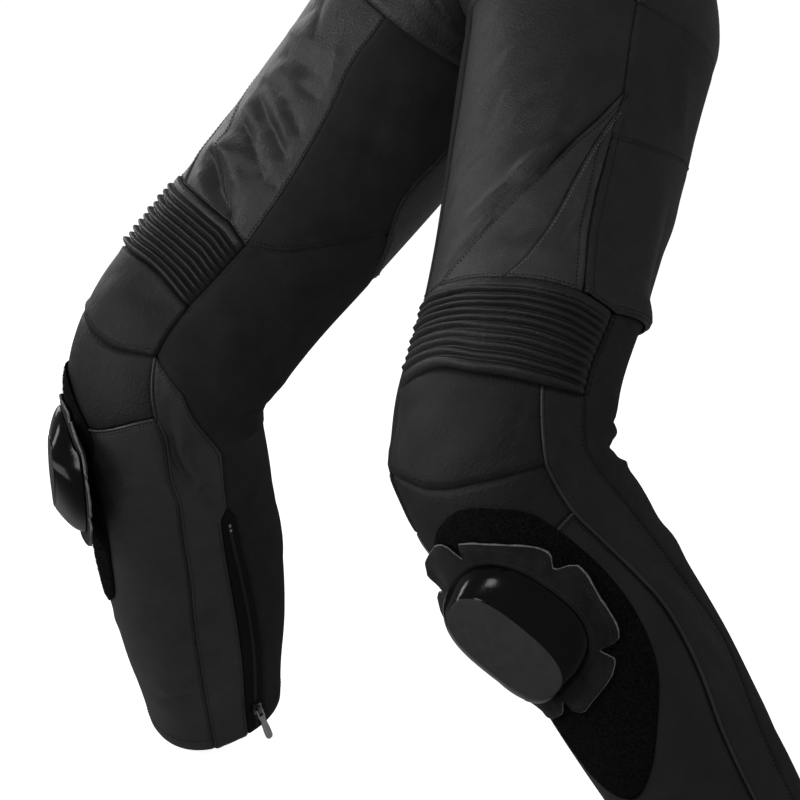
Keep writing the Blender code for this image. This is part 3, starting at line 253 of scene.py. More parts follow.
def leg_line(side):
    """Sampled centre line of a leg: along, centre, forward, outward."""
    q = LEGS[side]
    t = unit([side * q['thigh'][0], q['thigh'][1], -1.0])
    s = unit([side * q['shin'][0], q['shin'][1], -1.0])
    bend = math.acos(float(t @ s))
    f0 = -(s - t * math.cos(bend)) / math.sin(bend)
    v = np.linspace(LINE_START, LINE_END, round((LINE_END - LINE_START) / LINE_STEP) + 1)
    phi = (bend * smooth((v + BEND_HALF) / (2 * BEND_HALF)))[:, None]
    down = t * np.cos(phi) - f0 * np.sin(phi)
    fwd = f0 * np.cos(phi) + t * np.sin(phi)
    c = np.zeros((len(v), 3))
    c[1:] = np.cumsum((down[1:] + down[:-1]) / 2 * np.diff(v)[:, None], axis=0)
    run = np.linalg.lstsq(np.stack([t, s], 1), c[-1] - c[0], rcond=None)[0]
    c += np.array(q['knee']) - (c[0] + t * run[0])
    out = np.cross(f0, t)
    return v, c, fwd, out * np.sign(out[0] * side)


LINES = {side: leg_line(side) for side in LEGS}


def fold_share(px, py, dx, dy, width):
    """How many widths away a fold's line is, and how high it is near its ends."""
    t = np.clip((px * dx + py * dy) / (dx * dx + dy * dy), 0, 1)
    away = np.hypot(px - t * dx, py - t * dy) / width
    ends = smooth(t / 0.3) * smooth((1 - t) / 0.3)
    return away, 0.25 + 0.75 * ends


def raised(rows, around, along):
    """Height of folds or creases at places on a leg, metres."""
    h = np.zeros(np.broadcast(around, along).shape)
    for a0, v0, a1, v1, width, high in rows:
        mid = (a0 + a1) / 2
        a = (around - mid + 180) % 360 - 180 + mid
        away, share = fold_share((a - a0) * MM_PER_DEGREE, along * 1000 - v0,
                                 (a1 - a0) * MM_PER_DEGREE, v1 - v0, width)
        round_off = away**2 if high > 0 else away**1.25 * 1.3   # troughs are sharp
        h += high / 1000 * np.exp(-round_off) * share
    return h


def flat_raised(rows, x, y):
    """The same on an upper piece; everything in metres."""
    h = np.zeros(x.shape)
    for x0, y0, x1, y1, width, high in rows:
        away, share = fold_share(x - x0, y - y0, x1 - x0, y1 - y0, width)
        h += high * np.exp(-away**2) * share
    return h


def slide(side, along):
    """How far the cloth of a bent leg is drawn down along it."""
    return LEGS[side]['slide'] * (smooth((along + 0.340) / 0.09)
                                  * smooth((0.390 - along) / 0.12))


def tube(side, around, along):
    """Leg surface. around in degrees: 0 front, 90 outer, 180 back."""
    v, c, fwd, out = LINES[side]
    r = hermite(along, LEG_RINGS[:, 0], LEG_RINGS[:, 1:])
    th = np.radians(around)
    co, si = np.cos(th), np.sin(th)
    x = np.where(co >= 0, r[..., 0], r[..., 1]) * np.sign(co) * np.abs(co)**SQUARED
    y = np.where(si >= 0, r[..., 2], r[..., 3]) * np.sign(si) * np.abs(si)**SQUARED
    return (between(along, v, c) + between(along, v, fwd) * x[..., None]
            + out * y[..., None])


def torso_ring(side, turn, height):
    turn, height = np.broadcast_arrays(turn, np.float64(height))
    r = hermite(height, TORSO_RINGS[:, 0], TORSO_RINGS[:, 1:])
    co, si = np.cos(np.pi * turn), np.sin(np.pi * turn)
    deep = np.where(co >= 0, r[..., 1], r[..., 2])
    return leaned(np.stack([side * r[..., 0] * np.abs(si), -deep * co, height], -1))


def body(side, around, cloth):
    """The suit from waist to hem. cloth: metres down the cut pattern."""
    around, cloth = np.broadcast_arrays(np.asarray(around, float),
                                        np.asarray(cloth, float))
    along = cloth + slide(side, cloth)
    ring_at = np.maximum(along, CROTCH)
    leg = tube(side, around, ring_at)
    turn = ((around + 90) / 360) % 1.0
    turn = np.where((turn == 0) & (around > 90), 1.0, turn)
    near = np.minimum(turn, 1 - turn)
    other = tube(-side, around, ring_at) * [-1, 1, 1]
    meet = smooth((FORK - along) / 0.035)
    share = np.interp(near, [0, .05, .15, .30, .5], [1, .80, .30, 0, 0]) * meet / 2
    leg = leg * (1 - share[..., None]) + other * share[..., None]
    inner = side * (tube(side, -90.0, ring_at)[..., 0]
                    - tube(-side, -90.0, ring_at)[..., 0]) / 2
    pull = np.interp(near, [0, .02, .05, .10, .5], [1, .70, .30, 0, 0])
    leg[..., 0] -= side * inner * pull * meet
    s = np.clip((along - CROTCH) / (WAIST - CROTCH), 0, 1)[..., None]
    up = unit(np.cross(LINES[side][3], LINES[side][2][0]))
    up = up * np.sign(up[2])
    under = np.where((turn < 0.5)[..., None], UNDER_FRONT, UNDER_BACK)
    mix = smooth(1 - near / 0.20)[..., None]
    leave = unit(up * (1 - mix) + under * mix) * RISE * (1 - 0.3 * mix)
    leave[..., 0] *= smooth(near / 0.30)
    waist = torso_ring(side, turn, WAIST_HEIGHT)
    arrive = unit(torso_ring(side, turn, WAIST_HEIGHT + 0.01)
                  - torso_ring(side, turn, WAIST_HEIGHT - 0.01)) * RISE
    p = ((2 * s**3 - 3 * s**2 + 1) * leg + (s**3 - 2 * s**2 + s) * leave
         + (-2 * s**3 + 3 * s**2) * waist + (s**3 - s**2) * arrive)
    p[..., 0] = side * np.where(along < FORK, np.maximum(side * p[..., 0], 0.0),
                                side * p[..., 0])
    return p


def leg_surface(side, around, cloth, creased=True):
    """Point, in the part's frame, and outward normal on a leg."""
    da, dc = 0.4, 0.0008
    around = np.asarray(around, float)
    around = np.where(around < -90, around + 360,
                      np.where(around > 270, around - 360, around))
    half = cloth + slide(side, cloth) < CROTCH
    lo = np.where(half, np.maximum(around - da, -90), around - da)
    hi = np.where(half, np.minimum(around + da, 270), around + da)
    pa = body(side, hi, cloth) - body(side, lo, cloth)
    pc = body(side, around, cloth + dc) - body(side, around, cloth - dc)
    n = unit(np.cross(pc, pa)) * side
    h = raised(FOLDS_BOTH + FOLDS[side], around, cloth)
    if creased:
        h = h + CREASE_GAIN * raised(CREASES[side] + SHARED_CREASES, around, cloth)
    return body(side, around, cloth) + n * np.asarray(h)[..., None] - ORIGIN, n


def quarter(side, centre, outer, s, t):
    """A quarter of the torso: s from its centre line to its side, t upwards."""
    a, b = hermite(t, PANEL_T, centre), hermite(t, PANEL_T, outer)
    mid = np.stack([a[..., 0], b[..., 1], (a[..., 2] + b[..., 2]) / 2], -1)
    co = np.cos(np.pi / 2 * s)[..., None]
    si = np.sin(np.pi / 2 * s)[..., None]
    p = mid + (a - mid) * co + (b - mid) * si
    p[..., 0] *= side
    return leaned(p) - ORIGIN


def armhole(side, u):
    """Closed armhole edge: 0 underarm, 0.5 shoulder tip, then the back."""
    u = np.asarray(u, float)
    k = PANEL_T[3] + (1 - PANEL_T[3]) * np.where(u <= 0.5, 2 * u, 2 - 2 * u)
    p = np.where((u <= 0.5)[..., None], hermite(k, PANEL_T, FRONT_SIDE),
                 hermite(k, PANEL_T, BACK_SIDE))
    p[..., 0] *= side
    return leaned(p) - ORIGIN


def arm_line(side):
    """Sampled centre line of a sleeve: down, centre, forward, upward."""
    d = np.linspace(0, 0.60, 601)
    flip = np.array([side, 1, 1])
    a, b = unit(UPPER_ARM * flip), unit(FOREARM * flip)
    start = unit(ARM_START * flip)
    w0 = smooth(d / 0.15)[..., None]
    w1 = smooth((d - ELBOW + 0.05) / 0.10)[..., None]
    way = unit(start * (1 - w0) + a * w0 * (1 - w1) + b * w1)
    c = leaned(SHOULDER * flip) - ORIGIN + np.concatenate(
        [np.zeros((1, 3)), np.cumsum((way[1:] + way[:-1]) / 2 * 0.001, axis=0)])
    fwd = np.array([0.0, -1.0, 0.0])
    fwd = unit(fwd - way * (fwd * way).sum(-1, keepdims=True)
               + np.array([0, 0, 0.25]) * smooth((d - 0.2) / 0.15)[:, None])
    fwd = unit(fwd - way * (fwd * way).sum(-1, keepdims=True))
    up = unit(np.cross(way, fwd))
    return d, c, fwd, up * np.sign(up[0, 2])


ARMS = {side: arm_line(side) for side in (1, -1)}


def sleeve(side, u, d):
    """Sleeve surface: u round it from the underarm, d down it."""
    ds, c, fwd, up = ARMS[side]
    at = lambda a: between(d, ds, a)
    r = hermite(d, ARM_RINGS[:, 0], ARM_RINGS[:, 1:])
    turn = 2 * np.pi * u[..., None]
    ring = at(c) + (at(fwd) * np.sin(turn) - at(up) * np.cos(turn)) * r
    moved = armhole(side, u) + at(c) - c[0]
    w = smooth(d / 0.16)[..., None]
    return moved * (1 - w) + ring * w


# ------------------------------------------------------------- seams, legs
# (around, along): degrees, millimetres from the knee, + is down.
A0, A1, A2, A3, A4 = (-28, -120), (-12, -125), (30, -118), (77, -116), (97, -112)
B0, B1, B2 = (-24, -54), (66, -44), (90, -42)
C0, C1 = (-27, -18), (69, -2)
D0, D1 = (-46, 10), (75, 30)
R1, R2, R3 = (81, -282), (79, -268), (77, -246)
Q1, Q2, Q3 = (180, -285), (180, -150), (262, -192)
S1, Z0, ZB, ZF = (-54, -8), (-98, 122), (-103, 140), (-94, 134)
SEAM_STEP = 2.0          # millimetres between the samples of a seam


def seam(knots):
    """A seam as one smooth curve through its knots."""
    k = np.array(knots, float)
    d = np.hypot(np.diff(k[:, 0]) * MM_PER_DEGREE, np.diff(k[:, 1]))
    at = np.concatenate([[0], np.cumsum(d)])
    n = max(2, math.ceil(at[-1] / SEAM_STEP) + 1)
    if len(k) == 2:
        return k[0] + (k[1] - k[0]) * np.linspace(0, 1, n)[:, None]
    return hermite(np.linspace(0, at[-1], n), at, k)


def chain(*seams):
    """Seams end to end, without the doubled points."""
    return np.concatenate([seams[0]] + [s[1:] for s in seams[1:]])


def turned(s, by=360):
    """A seam one turn further round the leg, or back."""
    return s + np.array([by, 0.0])


INSEAM = seam([(-20, TOP), (-19, -290), (-24, -240), (-27, -184), A0])
DIAGONAL_1 = seam([R1, (70, -258), (54, -228), (36, -194), (19, -168),
                   (4, -147), A1])
DIAGONAL_2 = seam([R2, (72, -246), (62, -208), (54, -176), (42, -138), A2])
RIDGE_HIGH = chain(seam([R1, R2]), seam([R2, R3]))
RIDGE_LOW = seam([R3, (75, -204), (74, -164), A3])
OUTER_CROSS = seam([R3, (98, -254), (132, -268), Q1])
BACK_SEAM = seam([(266, TOP), (268, -276), (268, -210), Q3])
STRETCH_OUT = seam([A4, (139, -132), Q2])
STRETCH_IN = seam([Q2, (243, -158), Q3])
STRETCH_CROSS = seam([Q3, (278, -174), (297, -150), (313, -132), (332, -120)])
ACCORDION_TOP = chain(seam([A0, A1]), seam([A1, A2]), seam([A2, A3]))
ACCORDION_END = seam([A3, A4])
ACCORDION_OUT = seam([A4, (93, -82), (91, -64), B2])
ACCORDION_IN = seam([A0, (-26, -86), B0])
ACCORDION_LOW = seam([B0, (0, -57), (30, -50), B1])
ACCORDION_HEEL = seam([B1, B2])
CUP_IN = seam([B0, (-25, -32), C0])
CUP_OUT = seam([B1, (69, -20), C1])
CUP_LOW = seam([C0, (0, -6), (31, -3), C1])
SHIN_CROSS = seam([D0, (-2, 38), (40, 38), D1])
STRAP_IN, STRAP_OUT = seam([C0, (-34, -6), D0]), seam([C1, (72, 12), D1])
PIPING_IN = seam([D0, (-54, 20), (-65, 58), (-71, 142), (-72, 194),
                  (-69, 252), (-67, 314), (-66, HEM)])
PIPING_OUT = seam([D1, (88, 94), (92, 125), (93, 158), (90, 222), (86, 300),
                   (84, HEM)])
OUTER_BACK = seam([B2, (92, -10), (104, 36), (107, 60), (117, 140),
                   (123, 174), (121, 216), (115, 260), (112, HEM)])
INNER_STEP = seam([C0, S1])
CURVED = seam([S1, (-86, 24), (-97, 96), Z0])
ZIP_HEAD_B, ZIP_HEAD_F = seam([Z0, ZB]), seam([Z0, ZF])
ZIP_FRONT = seam([ZF, (-95, 250), (-95, HEM)])
ZIP_BACK = seam([ZB, (-106, 200), (-109, 260), (-111, 320), (-112, HEM)])
level = lambda v, *around: chain(*[seam([(a, v), (b, v)])
                                   for a, b in zip(around[:-1], around[1:])])
flip = lambda s: s[::-1]


# --------------------------------------------------------------- meshes
def mesh_object(name, verts, faces, finishes, face_slots=None, flat=False):
    """faces: an int array (n, 4), with -1 last for a triangle."""
    faces = np.asarray(faces, np.int64)
    mesh = bpy.data.meshes.new(name)
    count = np.where(faces[:, 3] < 0, 3, 4)
    mesh.vertices.add(len(verts))
    mesh.vertices.foreach_set('co', np.asarray(verts, np.float32).ravel())
    mesh.loops.add(int(count.sum()))
    mesh.loops.foreach_set('vertex_index', faces[faces >= 0].astype(np.int32))
    mesh.polygons.add(len(faces))
    mesh.polygons.foreach_set(
        'loop_start', np.concatenate([[0], np.cumsum(count)[:-1]]).astype(np.int32))
    mesh.polygons.foreach_set('loop_total', count.astype(np.int32))
    for finish in finishes:
        mesh.materials.append(FINISH[finish])
    if face_slots is not None:
        mesh.polygons.foreach_set('material_index',
                                  np.asarray(face_slots, np.int32))
    mesh.update(calc_edges=True)
    mesh.validate()
    mesh.polygons.foreach_set('use_smooth', np.full(len(mesh.polygons), not flat))
    obj = bpy.data.objects.new(name, mesh)
    bpy.context.collection.objects.link(obj)
    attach(obj, SUIT)
    return obj


def joined(name, parts, finish):
    """Many small meshes, each of verts and faces, as one object."""
    verts, faces, first = [], [], 0
    for v, f in parts:
        verts.append(v)
        faces.append(np.where(f < 0, -1, f + first))
        first += len(v)
    mesh_object(name, np.concatenate(verts), np.concatenate(faces), [finish])


def grid_faces(rows, cols, first=0, wrap=False):
    i, j = np.meshgrid(np.arange(rows - 1), np.arange(cols if wrap else cols - 1),
                       indexing='ij')
    k = (j + 1) % cols
    q = np.stack([i * cols + j, i * cols + k, (i + 1) * cols + k,
                  (i + 1) * cols + j], -1)
    return q.reshape(-1, 4) + first


def shell(name, outer, inner, finishes, out_way):
    """A thin cloth shell: outer face, lining face and a closed rim."""
    rows, cols = outer.shape[:2]
    n = rows * cols
    verts = np.concatenate([outer.reshape(-1, 3), inner.reshape(-1, 3)])
    face = grid_faces(rows, cols)
    a, b, c = (outer.reshape(-1, 3)[face[:, k]] for k in (0, 1, 2))
    if (np.cross(b - a, c - b) * out_way.reshape(-1, 3)[face[:, 0]]).sum() < 0:
        face = face[:, ::-1]
    back = face[:, ::-1] + n
    idx = np.arange(n).reshape(rows, cols)
    ring = np.concatenate([idx[0], idx[1:, -1], idx[-1, -2::-1], idx[-2:0:-1, 0]])
    after = np.roll(ring, -1)
    rim = np.stack([after, ring, ring + n, after + n], -1)
    edge = {tuple(face[0][[k, (k + 1) % 4]]) for k in range(4)}
    if (idx[0, 1], idx[0, 0]) in edge:
        rim = rim[:, ::-1]
    faces = np.concatenate([face, back, rim])
    where = np.concatenate([np.zeros(len(face)), np.ones(len(back)),
                            np.zeros(len(rim))])
    return mesh_object(name, verts, faces, finishes, where)


def arc(points, axis):
    """Distances along one axis of a grid, from its first row or column."""
    step = np.linalg.norm(np.diff(points, axis=axis), axis=-1)
    return np.concatenate([np.zeros_like(np.take(step, [0], axis)),
                           np.cumsum(step, axis)], axis)


def runs(line):
    """Distances along a line of points, from its first."""
    return np.concatenate([[0], np.cumsum(np.linalg.norm(np.diff(line, axis=0),
                                                         axis=1))])


def even(lengths_a, lengths_b, pitch):
    """Places along two facing seams, close enough together on both."""
    t = np.linspace(0, 1, 801)
    fine = lambda e: np.interp(t, e[0], e[1])
    need = np.maximum(np.diff(fine(lengths_a)), np.diff(fine(lengths_b)))
    run = np.concatenate([[0], np.cumsum(need)])
    n = max(3, int(round(run[-1] / pitch)) + 1)
    return np.interp(np.linspace(0, run[-1], n), run, t)


def calmed(t, line):
    """A seam without its short waves, for the rows inside a piece."""
    close = np.maximum(0, 1 - np.abs(t[:, None] - t[None]) / 0.16)
    close *= np.gradient(t)[None]
    return close @ line / close.sum(1, keepdims=True)


def edge_drop(away, deep, wide):
    """A cloth edge that rolls down into its seam."""
    x = np.clip(away / wide, 0, 1)
    return -deep * (1 - np.sqrt(np.clip(1 - (1 - x)**2, 0, 1)))


# ------------------------------------------------------------ materials
CREASE_TURN = Vector((0, 1, 0)).rotation_difference(Vector((.32, .69, .64))).to_euler()
CREASE_STRETCH = (1.0, 3.6, 1.5)


def node(tree, kind, **values):
    n = tree.nodes.new(kind)
    for key, value in values.items():
        if key in n.inputs:
            n.inputs[key].default_value = value
        else:
            setattr(n, key, value)
    return n


def grain_height(tree, where, kind, scale):
    """The height field of one kind of grain, as an output socket."""
    link = tree.links.new
    if kind == 'creased':
        warp = node(tree, 'ShaderNodeMapping', vector_type='TEXTURE')
        warp.inputs['Rotation'].default_value = CREASE_TURN
        warp.inputs['Scale'].default_value = CREASE_STRETCH
        link(where, warp.inputs['Vector'])
        where = warp.outputs['Vector']
    if kind == 'pebble':
        tex = node(tree, 'ShaderNodeTexVoronoi', Scale=scale,
                   feature='SMOOTH_F1', Smoothness=0.6)
        out = tex.outputs['Distance']
    elif kind in ('weave', 'ribbed'):
        tex = node(tree, 'ShaderNodeTexWave', Scale=scale, Distortion=1.2,
                   bands_direction='DIAGONAL' if kind == 'weave' else 'Z')
        out = tex.outputs['Fac']
    else:
        tex = node(tree, 'ShaderNodeTexNoise', Scale=scale,
                   Detail=3.0 if kind == 'creased' else 6.0, Roughness=0.62)
        out = tex.outputs['Fac']
    link(where, tex.inputs['Vector'])
    if kind == 'creased':   # sharp valleys along the noise's middle level
        shift = node(tree, 'ShaderNodeMath', operation='SUBTRACT')
        shift.inputs[1].default_value = 0.5
        fold = node(tree, 'ShaderNodeMath', operation='ABSOLUTE')
        link(out, shift.inputs[0])
        link(shift.outputs[0], fold.inputs[0])
        out = fold.outputs[0]
    return out


def surface(name, colour, rough, grain=(), specular=0.5, metallic=0.0,
            sheen=0.0, shade=0.25, spread=40.0, rough_vary=0.10):
    """A procedural finish. grain: rows of kind, scale, depth in metres."""
    mat = bpy.data.materials.new(name)
    mat.use_nodes = True
    tree = mat.node_tree
    link = tree.links.new
    bsdf = tree.nodes['Principled BSDF']
    bsdf.inputs['Specular IOR Level'].default_value = specular
    bsdf.inputs['Metallic'].default_value = metallic
    bsdf.inputs['Sheen Weight'].default_value = sheen
    bsdf.inputs['Sheen Roughness'].default_value = 0.6
    where = node(tree, 'ShaderNodeTexCoord').outputs['Object']
    patchy = node(tree, 'ShaderNodeTexNoise', Scale=spread, Detail=5.0,
                  Roughness=0.6)
    link(where, patchy.inputs['Vector'])
    ramp = node(tree, 'ShaderNodeValToRGB')
    dark, light = ramp.color_ramp.elements
    dark.position, light.position = 0.30, 0.72
    dark.color = (*[c * (1 - shade) for c in colour], 1)
    light.color = (*[c * (1 + shade) for c in colour], 1)
    link(patchy.outputs['Fac'], ramp.inputs['Fac'])
    link(ramp.outputs['Color'], bsdf.inputs['Base Color'])
    spots = node(tree, 'ShaderNodeTexNoise', Scale=spread * 6, Detail=3.0)
    link(where, spots.inputs['Vector'])
    span = node(tree, 'ShaderNodeMapRange')
    span.inputs['To Min'].default_value = max(rough - rough_vary, 0.02)
    span.inputs['To Max'].default_value = min(rough + rough_vary, 1.0)
    link(spots.outputs['Fac'], span.inputs['Value'])
    link(span.outputs['Result'], bsdf.inputs['Roughness'])
    normal = None
    for kind, scale, depth in grain:
        bump = node(tree, 'ShaderNodeBump', Strength=1.0, Distance=depth)
        link(grain_height(tree, where, kind, scale), bump.inputs['Height'])
        if normal is not None:
            link(normal, bump.inputs['Normal'])
        normal = bump.outputs['Normal']
    if normal is not None:
        link(normal, bsdf.inputs['Normal'])
    return mat


grey = lambda v, warm=0.0: (v * (1 + warm), v, v * (1 - warm))
THREAD_GRAIN = [('weave', 1800, .0001)]
FINISHES = {   # grey level, warmth, roughness, specular; grain; what else
    'leather': (.0155, 0, .46, .5, [
        ('creased', 170, .0011), ('pebble', 700, -.00030),
        ('noise', 1500, .00012)], {}),
    # Darker copy of the leather: painted shade. It keeps the knee cups, which face the
    # lamps above, and their straps no brighter than the thigh.
    'knee_leather': (.0105, 0, .54, .24, [
        ('creased', 190, .0013), ('pebble', 760, -.00020),
        ('noise', 1700, .00008)], dict(rough_vary=.05)),
    # Lighter copy of the leather: painted light, for the far shin and the inner calves,
    # which face down and away from the lamps.
    'shin_leather': (.0230, 0, .52, .45, [
        ('creased', 170, .0010), ('pebble', 820, -.00016),
        ('noise', 1700, .00006)], dict(rough_vary=.05)),
    # Darker copy of the leather: painted shade, for the near shin and the outer calves,
    # which the lamps light more than the far shin.
    'calf_leather': (.0120, 0, .54, .36, [
        ('creased', 170, .0012), ('pebble', 820, -.00020),
        ('noise', 1700, .00006)], dict(rough_vary=.05)),
    # Lighter copy of the leather: painted light, for the wedge pieces, which lie in the
    # shadow of the key lamps.
    'wedge_leather': (.0280, 0, .50, .45, [
        ('creased', 190, .0014), ('pebble', 900, -.00030)], {}),
    'rib_leather': (.0110, 0, .48, .45, [
        ('creased', 190, .0012), ('pebble', 760, -.00020)], {}),
    'outer_cloth': (.0150, 0, .56, .42, [
        ('creased', 200, .0018), ('pebble', 700, -.00030)], {}),
    'stretch': (.0185, 0, .92, .15, [
        ('ribbed', 520, .00014), ('noise', 260, .0004)], dict(sheen=.03)),
    'pile': (.0066, 0, 1.0, .06, [
        ('noise', 900, .0010), ('noise', 2400, .0005)], dict(shade=.95, spread=620)),
    'suede': (.0098, .03, .90, .20, [
        ('noise', 1400, .0003), ('creased', 120, .0010)],
        dict(sheen=.05, shade=.45, spread=70)),
    'raw_edge': (.17, .04, .95, .2, [('noise', 1600, .0004)],
                 dict(shade=.45, spread=260)),
    'puck_side': (.0030, 0, .15, .2, [('noise', 60, .0002)],
                  dict(shade=.15, rough_vary=.04)),
    'puck_face': (.0330, 0, .62, .3, [
        ('noise', 240, .0002), ('creased', 420, .0001)], dict(shade=.15, spread=120)),
    'thread': (.0030, 0, .40, .5, THREAD_GRAIN, {}),
    'pale_thread': (.16, .02, .40, .5, THREAD_GRAIN, {}),
    'flap_thread': (.045, .02, .60, .3, THREAD_GRAIN, {}),
    'piping': (.0200, 0, .30, .5, [('noise', 300, .0004)], {}),
    'chain': (.0100, 0, .42, .4, [('noise', 900, .00004)], {}),
    'tape': (.0060, 0, .85, .2, [('weave', 900, .0002)], {}),
    'metal': (.22, 0, .32, .5, [('noise', 900, .00004)],
              dict(metallic=1.0, shade=.2, spread=200)),
    'bright_metal': (.55, 0, .22, .5, [('noise', 900, .00003)],
                     dict(metallic=1.0, shade=.15, spread=300)),
    'lining': (.022, 0, .88, .2, [('weave', 420, .0004)], dict(shade=.3, spread=600)),
    'trim': (.0065, 0, .80, .2, [('noise', 800, .0003)], {})}
FINISH = {name: surface(name, grey(level, warm), rough, grain, specular, **more)
          for name, (level, warm, rough, specular, grain, more) in FINISHES.items()}


# ------------------------------------------------------------ cloth pieces
WALL = 0.0016            # thickness of the cloth shells
CENTRE_GAP = .0002       # from the centre line to an edge that lies along it
CENTRE_REACH = .03       # how far from the centre line its points are eased
LEAST_SHARE = 0.32       # of its rectangle, that a piece's worked-out cut is taken to fill
GROUND = {}              # outer faces laid so far: of each leg and of the rest


def bump_at(away, at, wide, high):
    """A rounded ridge at a distance from a seam."""
    return high * np.exp(-((away - at) / wide)**2)


EDGES = {   # height of the cloth by its distance from a seam
    'groove': lambda d: edge_drop(d, .0012, .0024),
    'plain': lambda d: edge_drop(d, .0002, .0010),
    'under': lambda d: edge_drop(d, .0015, .0022),
    'over': lambda d: (.0008 * (1 - smooth((d - .0045) / .0035))
                       + edge_drop(d, .0013, .0010)),
    'ridge': lambda d: (edge_drop(d, .0010, .0014)
                        + bump_at(d, .0028, .0015, .0019)),
    'fine': lambda d: edge_drop(d, .0007, .0013),
    'flare': lambda d: (.0034 * (1 - smooth(d / .016))
                        + edge_drop(d, .0010, .0010)),
    'soft': lambda d: edge_drop(d, .0009, .0020)}


def edge_height(p, edges):
    """Height of a piece by its distances from its four seams."""
    across, down = arc(p, 1), arc(p, 0)
    away = (across, across[:, -1:] - across, down, down[-1:] - down)
    return sum(EDGES[kind](d) for kind, d in zip(edges, away))


def declare(outer):
    """Works out the piece's cut, its longest run each way and its own area, and keeps none
    of it.
    """
    wide = float(arc(outer, 1)[:, -1].max())
    long = float(arc(outer, 0)[-1].max())
    a, b = outer[1:, 1:] - outer[:-1, :-1], outer[1:, :-1] - outer[:-1, 1:]
    area = float(np.linalg.norm(np.cross(a, b), axis=-1).sum() / 2)
    area = min(area, wide * long)
    if area < LEAST_SHARE * wide * long:
        wide = area / (LEAST_SHARE * long)


def sheet(name, outer, inner, finishes, n):
    """A shell in place of its solid; its cut is worked out, not recorded."""
    obj = shell('cloth_' + name, outer, inner, finishes, n)
    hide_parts(name)
    declare(outer)


def cloth_piece(name, where, base, n, high, finish, side, gap):
    """A shell at a height over its base, kept a gap off the centre line."""
    outer = base + n * high[..., None]
    inner = outer - n * WALL
    if gap is not None:
        for p in (outer, inner):
            x = side * p[..., 0]
            eased = gap + np.clip(x, 0, CENTRE_REACH) * (1 - gap / CENTRE_REACH)
            p[..., 0] = side * np.where(x < CENTRE_REACH, eased, x)
    sheet(name, outer, inner, [finish, 'lining'], n)
    GROUND.setdefault(where, []).append(outer)


def rib_relief(S, T):
    """The puffy band and the round ribs of the accordion panel."""
    band, ribs = RIB_BAND, (1 - RIB_BAND) / RIBS
    sway = .0040 * np.sin(9.1 * S + 1.3) + .0016 * np.sin(21 * S + T * 9)
    phase = (T + sway * np.clip((T - band) * 12, 0, 1) - band) / ribs
    f = np.mod(phase, 1.0)
    uneven = 1 + .16 * np.sin(np.floor(phase) * 2.6 + 5 * S)
    round_rib = np.sin(np.pi * f)**1.1
    high = np.where(T < band, BAND_HEIGHT * np.sqrt(np.clip(
        1 - (2 * np.clip(T / band, 0, 1) - 1)**2, 0, 1)),
        RIB_HEIGHT * round_rib * uneven)
    ends = smooth(np.minimum(S, 1 - S) / .045)
    return high * (0.12 + 0.88 * ends) - .0012 * (1 - ends)


def seam_grid(left, right, top, bottom, pitch, rows):
    """A grid between four seams: its places on the leg, and its shares."""
    metric = lambda s: np.concatenate([[0], np.cumsum(np.hypot(
        np.diff(s[:, 0]) * MM_PER_DEGREE, np.diff(s[:, 1])) / 1000)])
    by_along = lambda s: (s[:, 1] - s[0, 1]) / (s[-1, 1] - s[0, 1])
    lt, rt = by_along(left), by_along(right)
    tt, bt = metric(top) / metric(top)[-1], metric(bottom) / metric(bottom)[-1]
    t = (even((lt, metric(left)), (rt, metric(right)), pitch) if rows is None
         else np.linspace(0, 1, rows))
    s = even((tt, metric(top)), (bt, metric(bottom)), pitch)
    L, R = between(t, lt, left), between(t, rt, right)
    T, B = between(s, tt, top), between(s, bt, bottom)
    S, TT = s[None, :, None], t[:, None, None]
    ease = smooth(np.minimum(t, 1 - t) / .12)[:, None]
    calm_l = (L + (calmed(t, L) - L) * ease)[:, None]
    calm_r = (R + (calmed(t, R) - R) * ease)[:, None]
    L, R, T, B = L[:, None], R[:, None], T[None], B[None]
    L = calm_l + (L - calm_l) * (1 - S)**5
    R = calm_r + (R - calm_r) * S**5
    uv = ((1 - S) * L + S * R + (1 - TT) * T + TT * B
          - (1 - S) * (1 - TT) * left[0] - S * (1 - TT) * right[0]
          - (1 - S) * TT * left[-1] - S * TT * right[-1])
    return uv, s, t


def leg_piece(name, side, left, right, top, bottom, finish, slot, edges,
              pitch=.0034, rows=None, relief=None, gap=None):
    """One sewn piece as a fine thin shell between its four seams."""
    uv, s, t = seam_grid(left, right, top, bottom, pitch, rows)
    base, n = leg_surface(side, uv[..., 0], uv[..., 1] / 1000)
    high = edge_height(base, edges)
    if relief is not None:
        high = high + relief(*np.meshgrid(s, t))
    if gap is not None:
        gap = gap(uv[..., 1] / 1000)
    cloth_piece(name + TAG[side], side, base, n, high, finish, side, gap)


RIB_ROWS = 119           # grid rows down the accordion panel


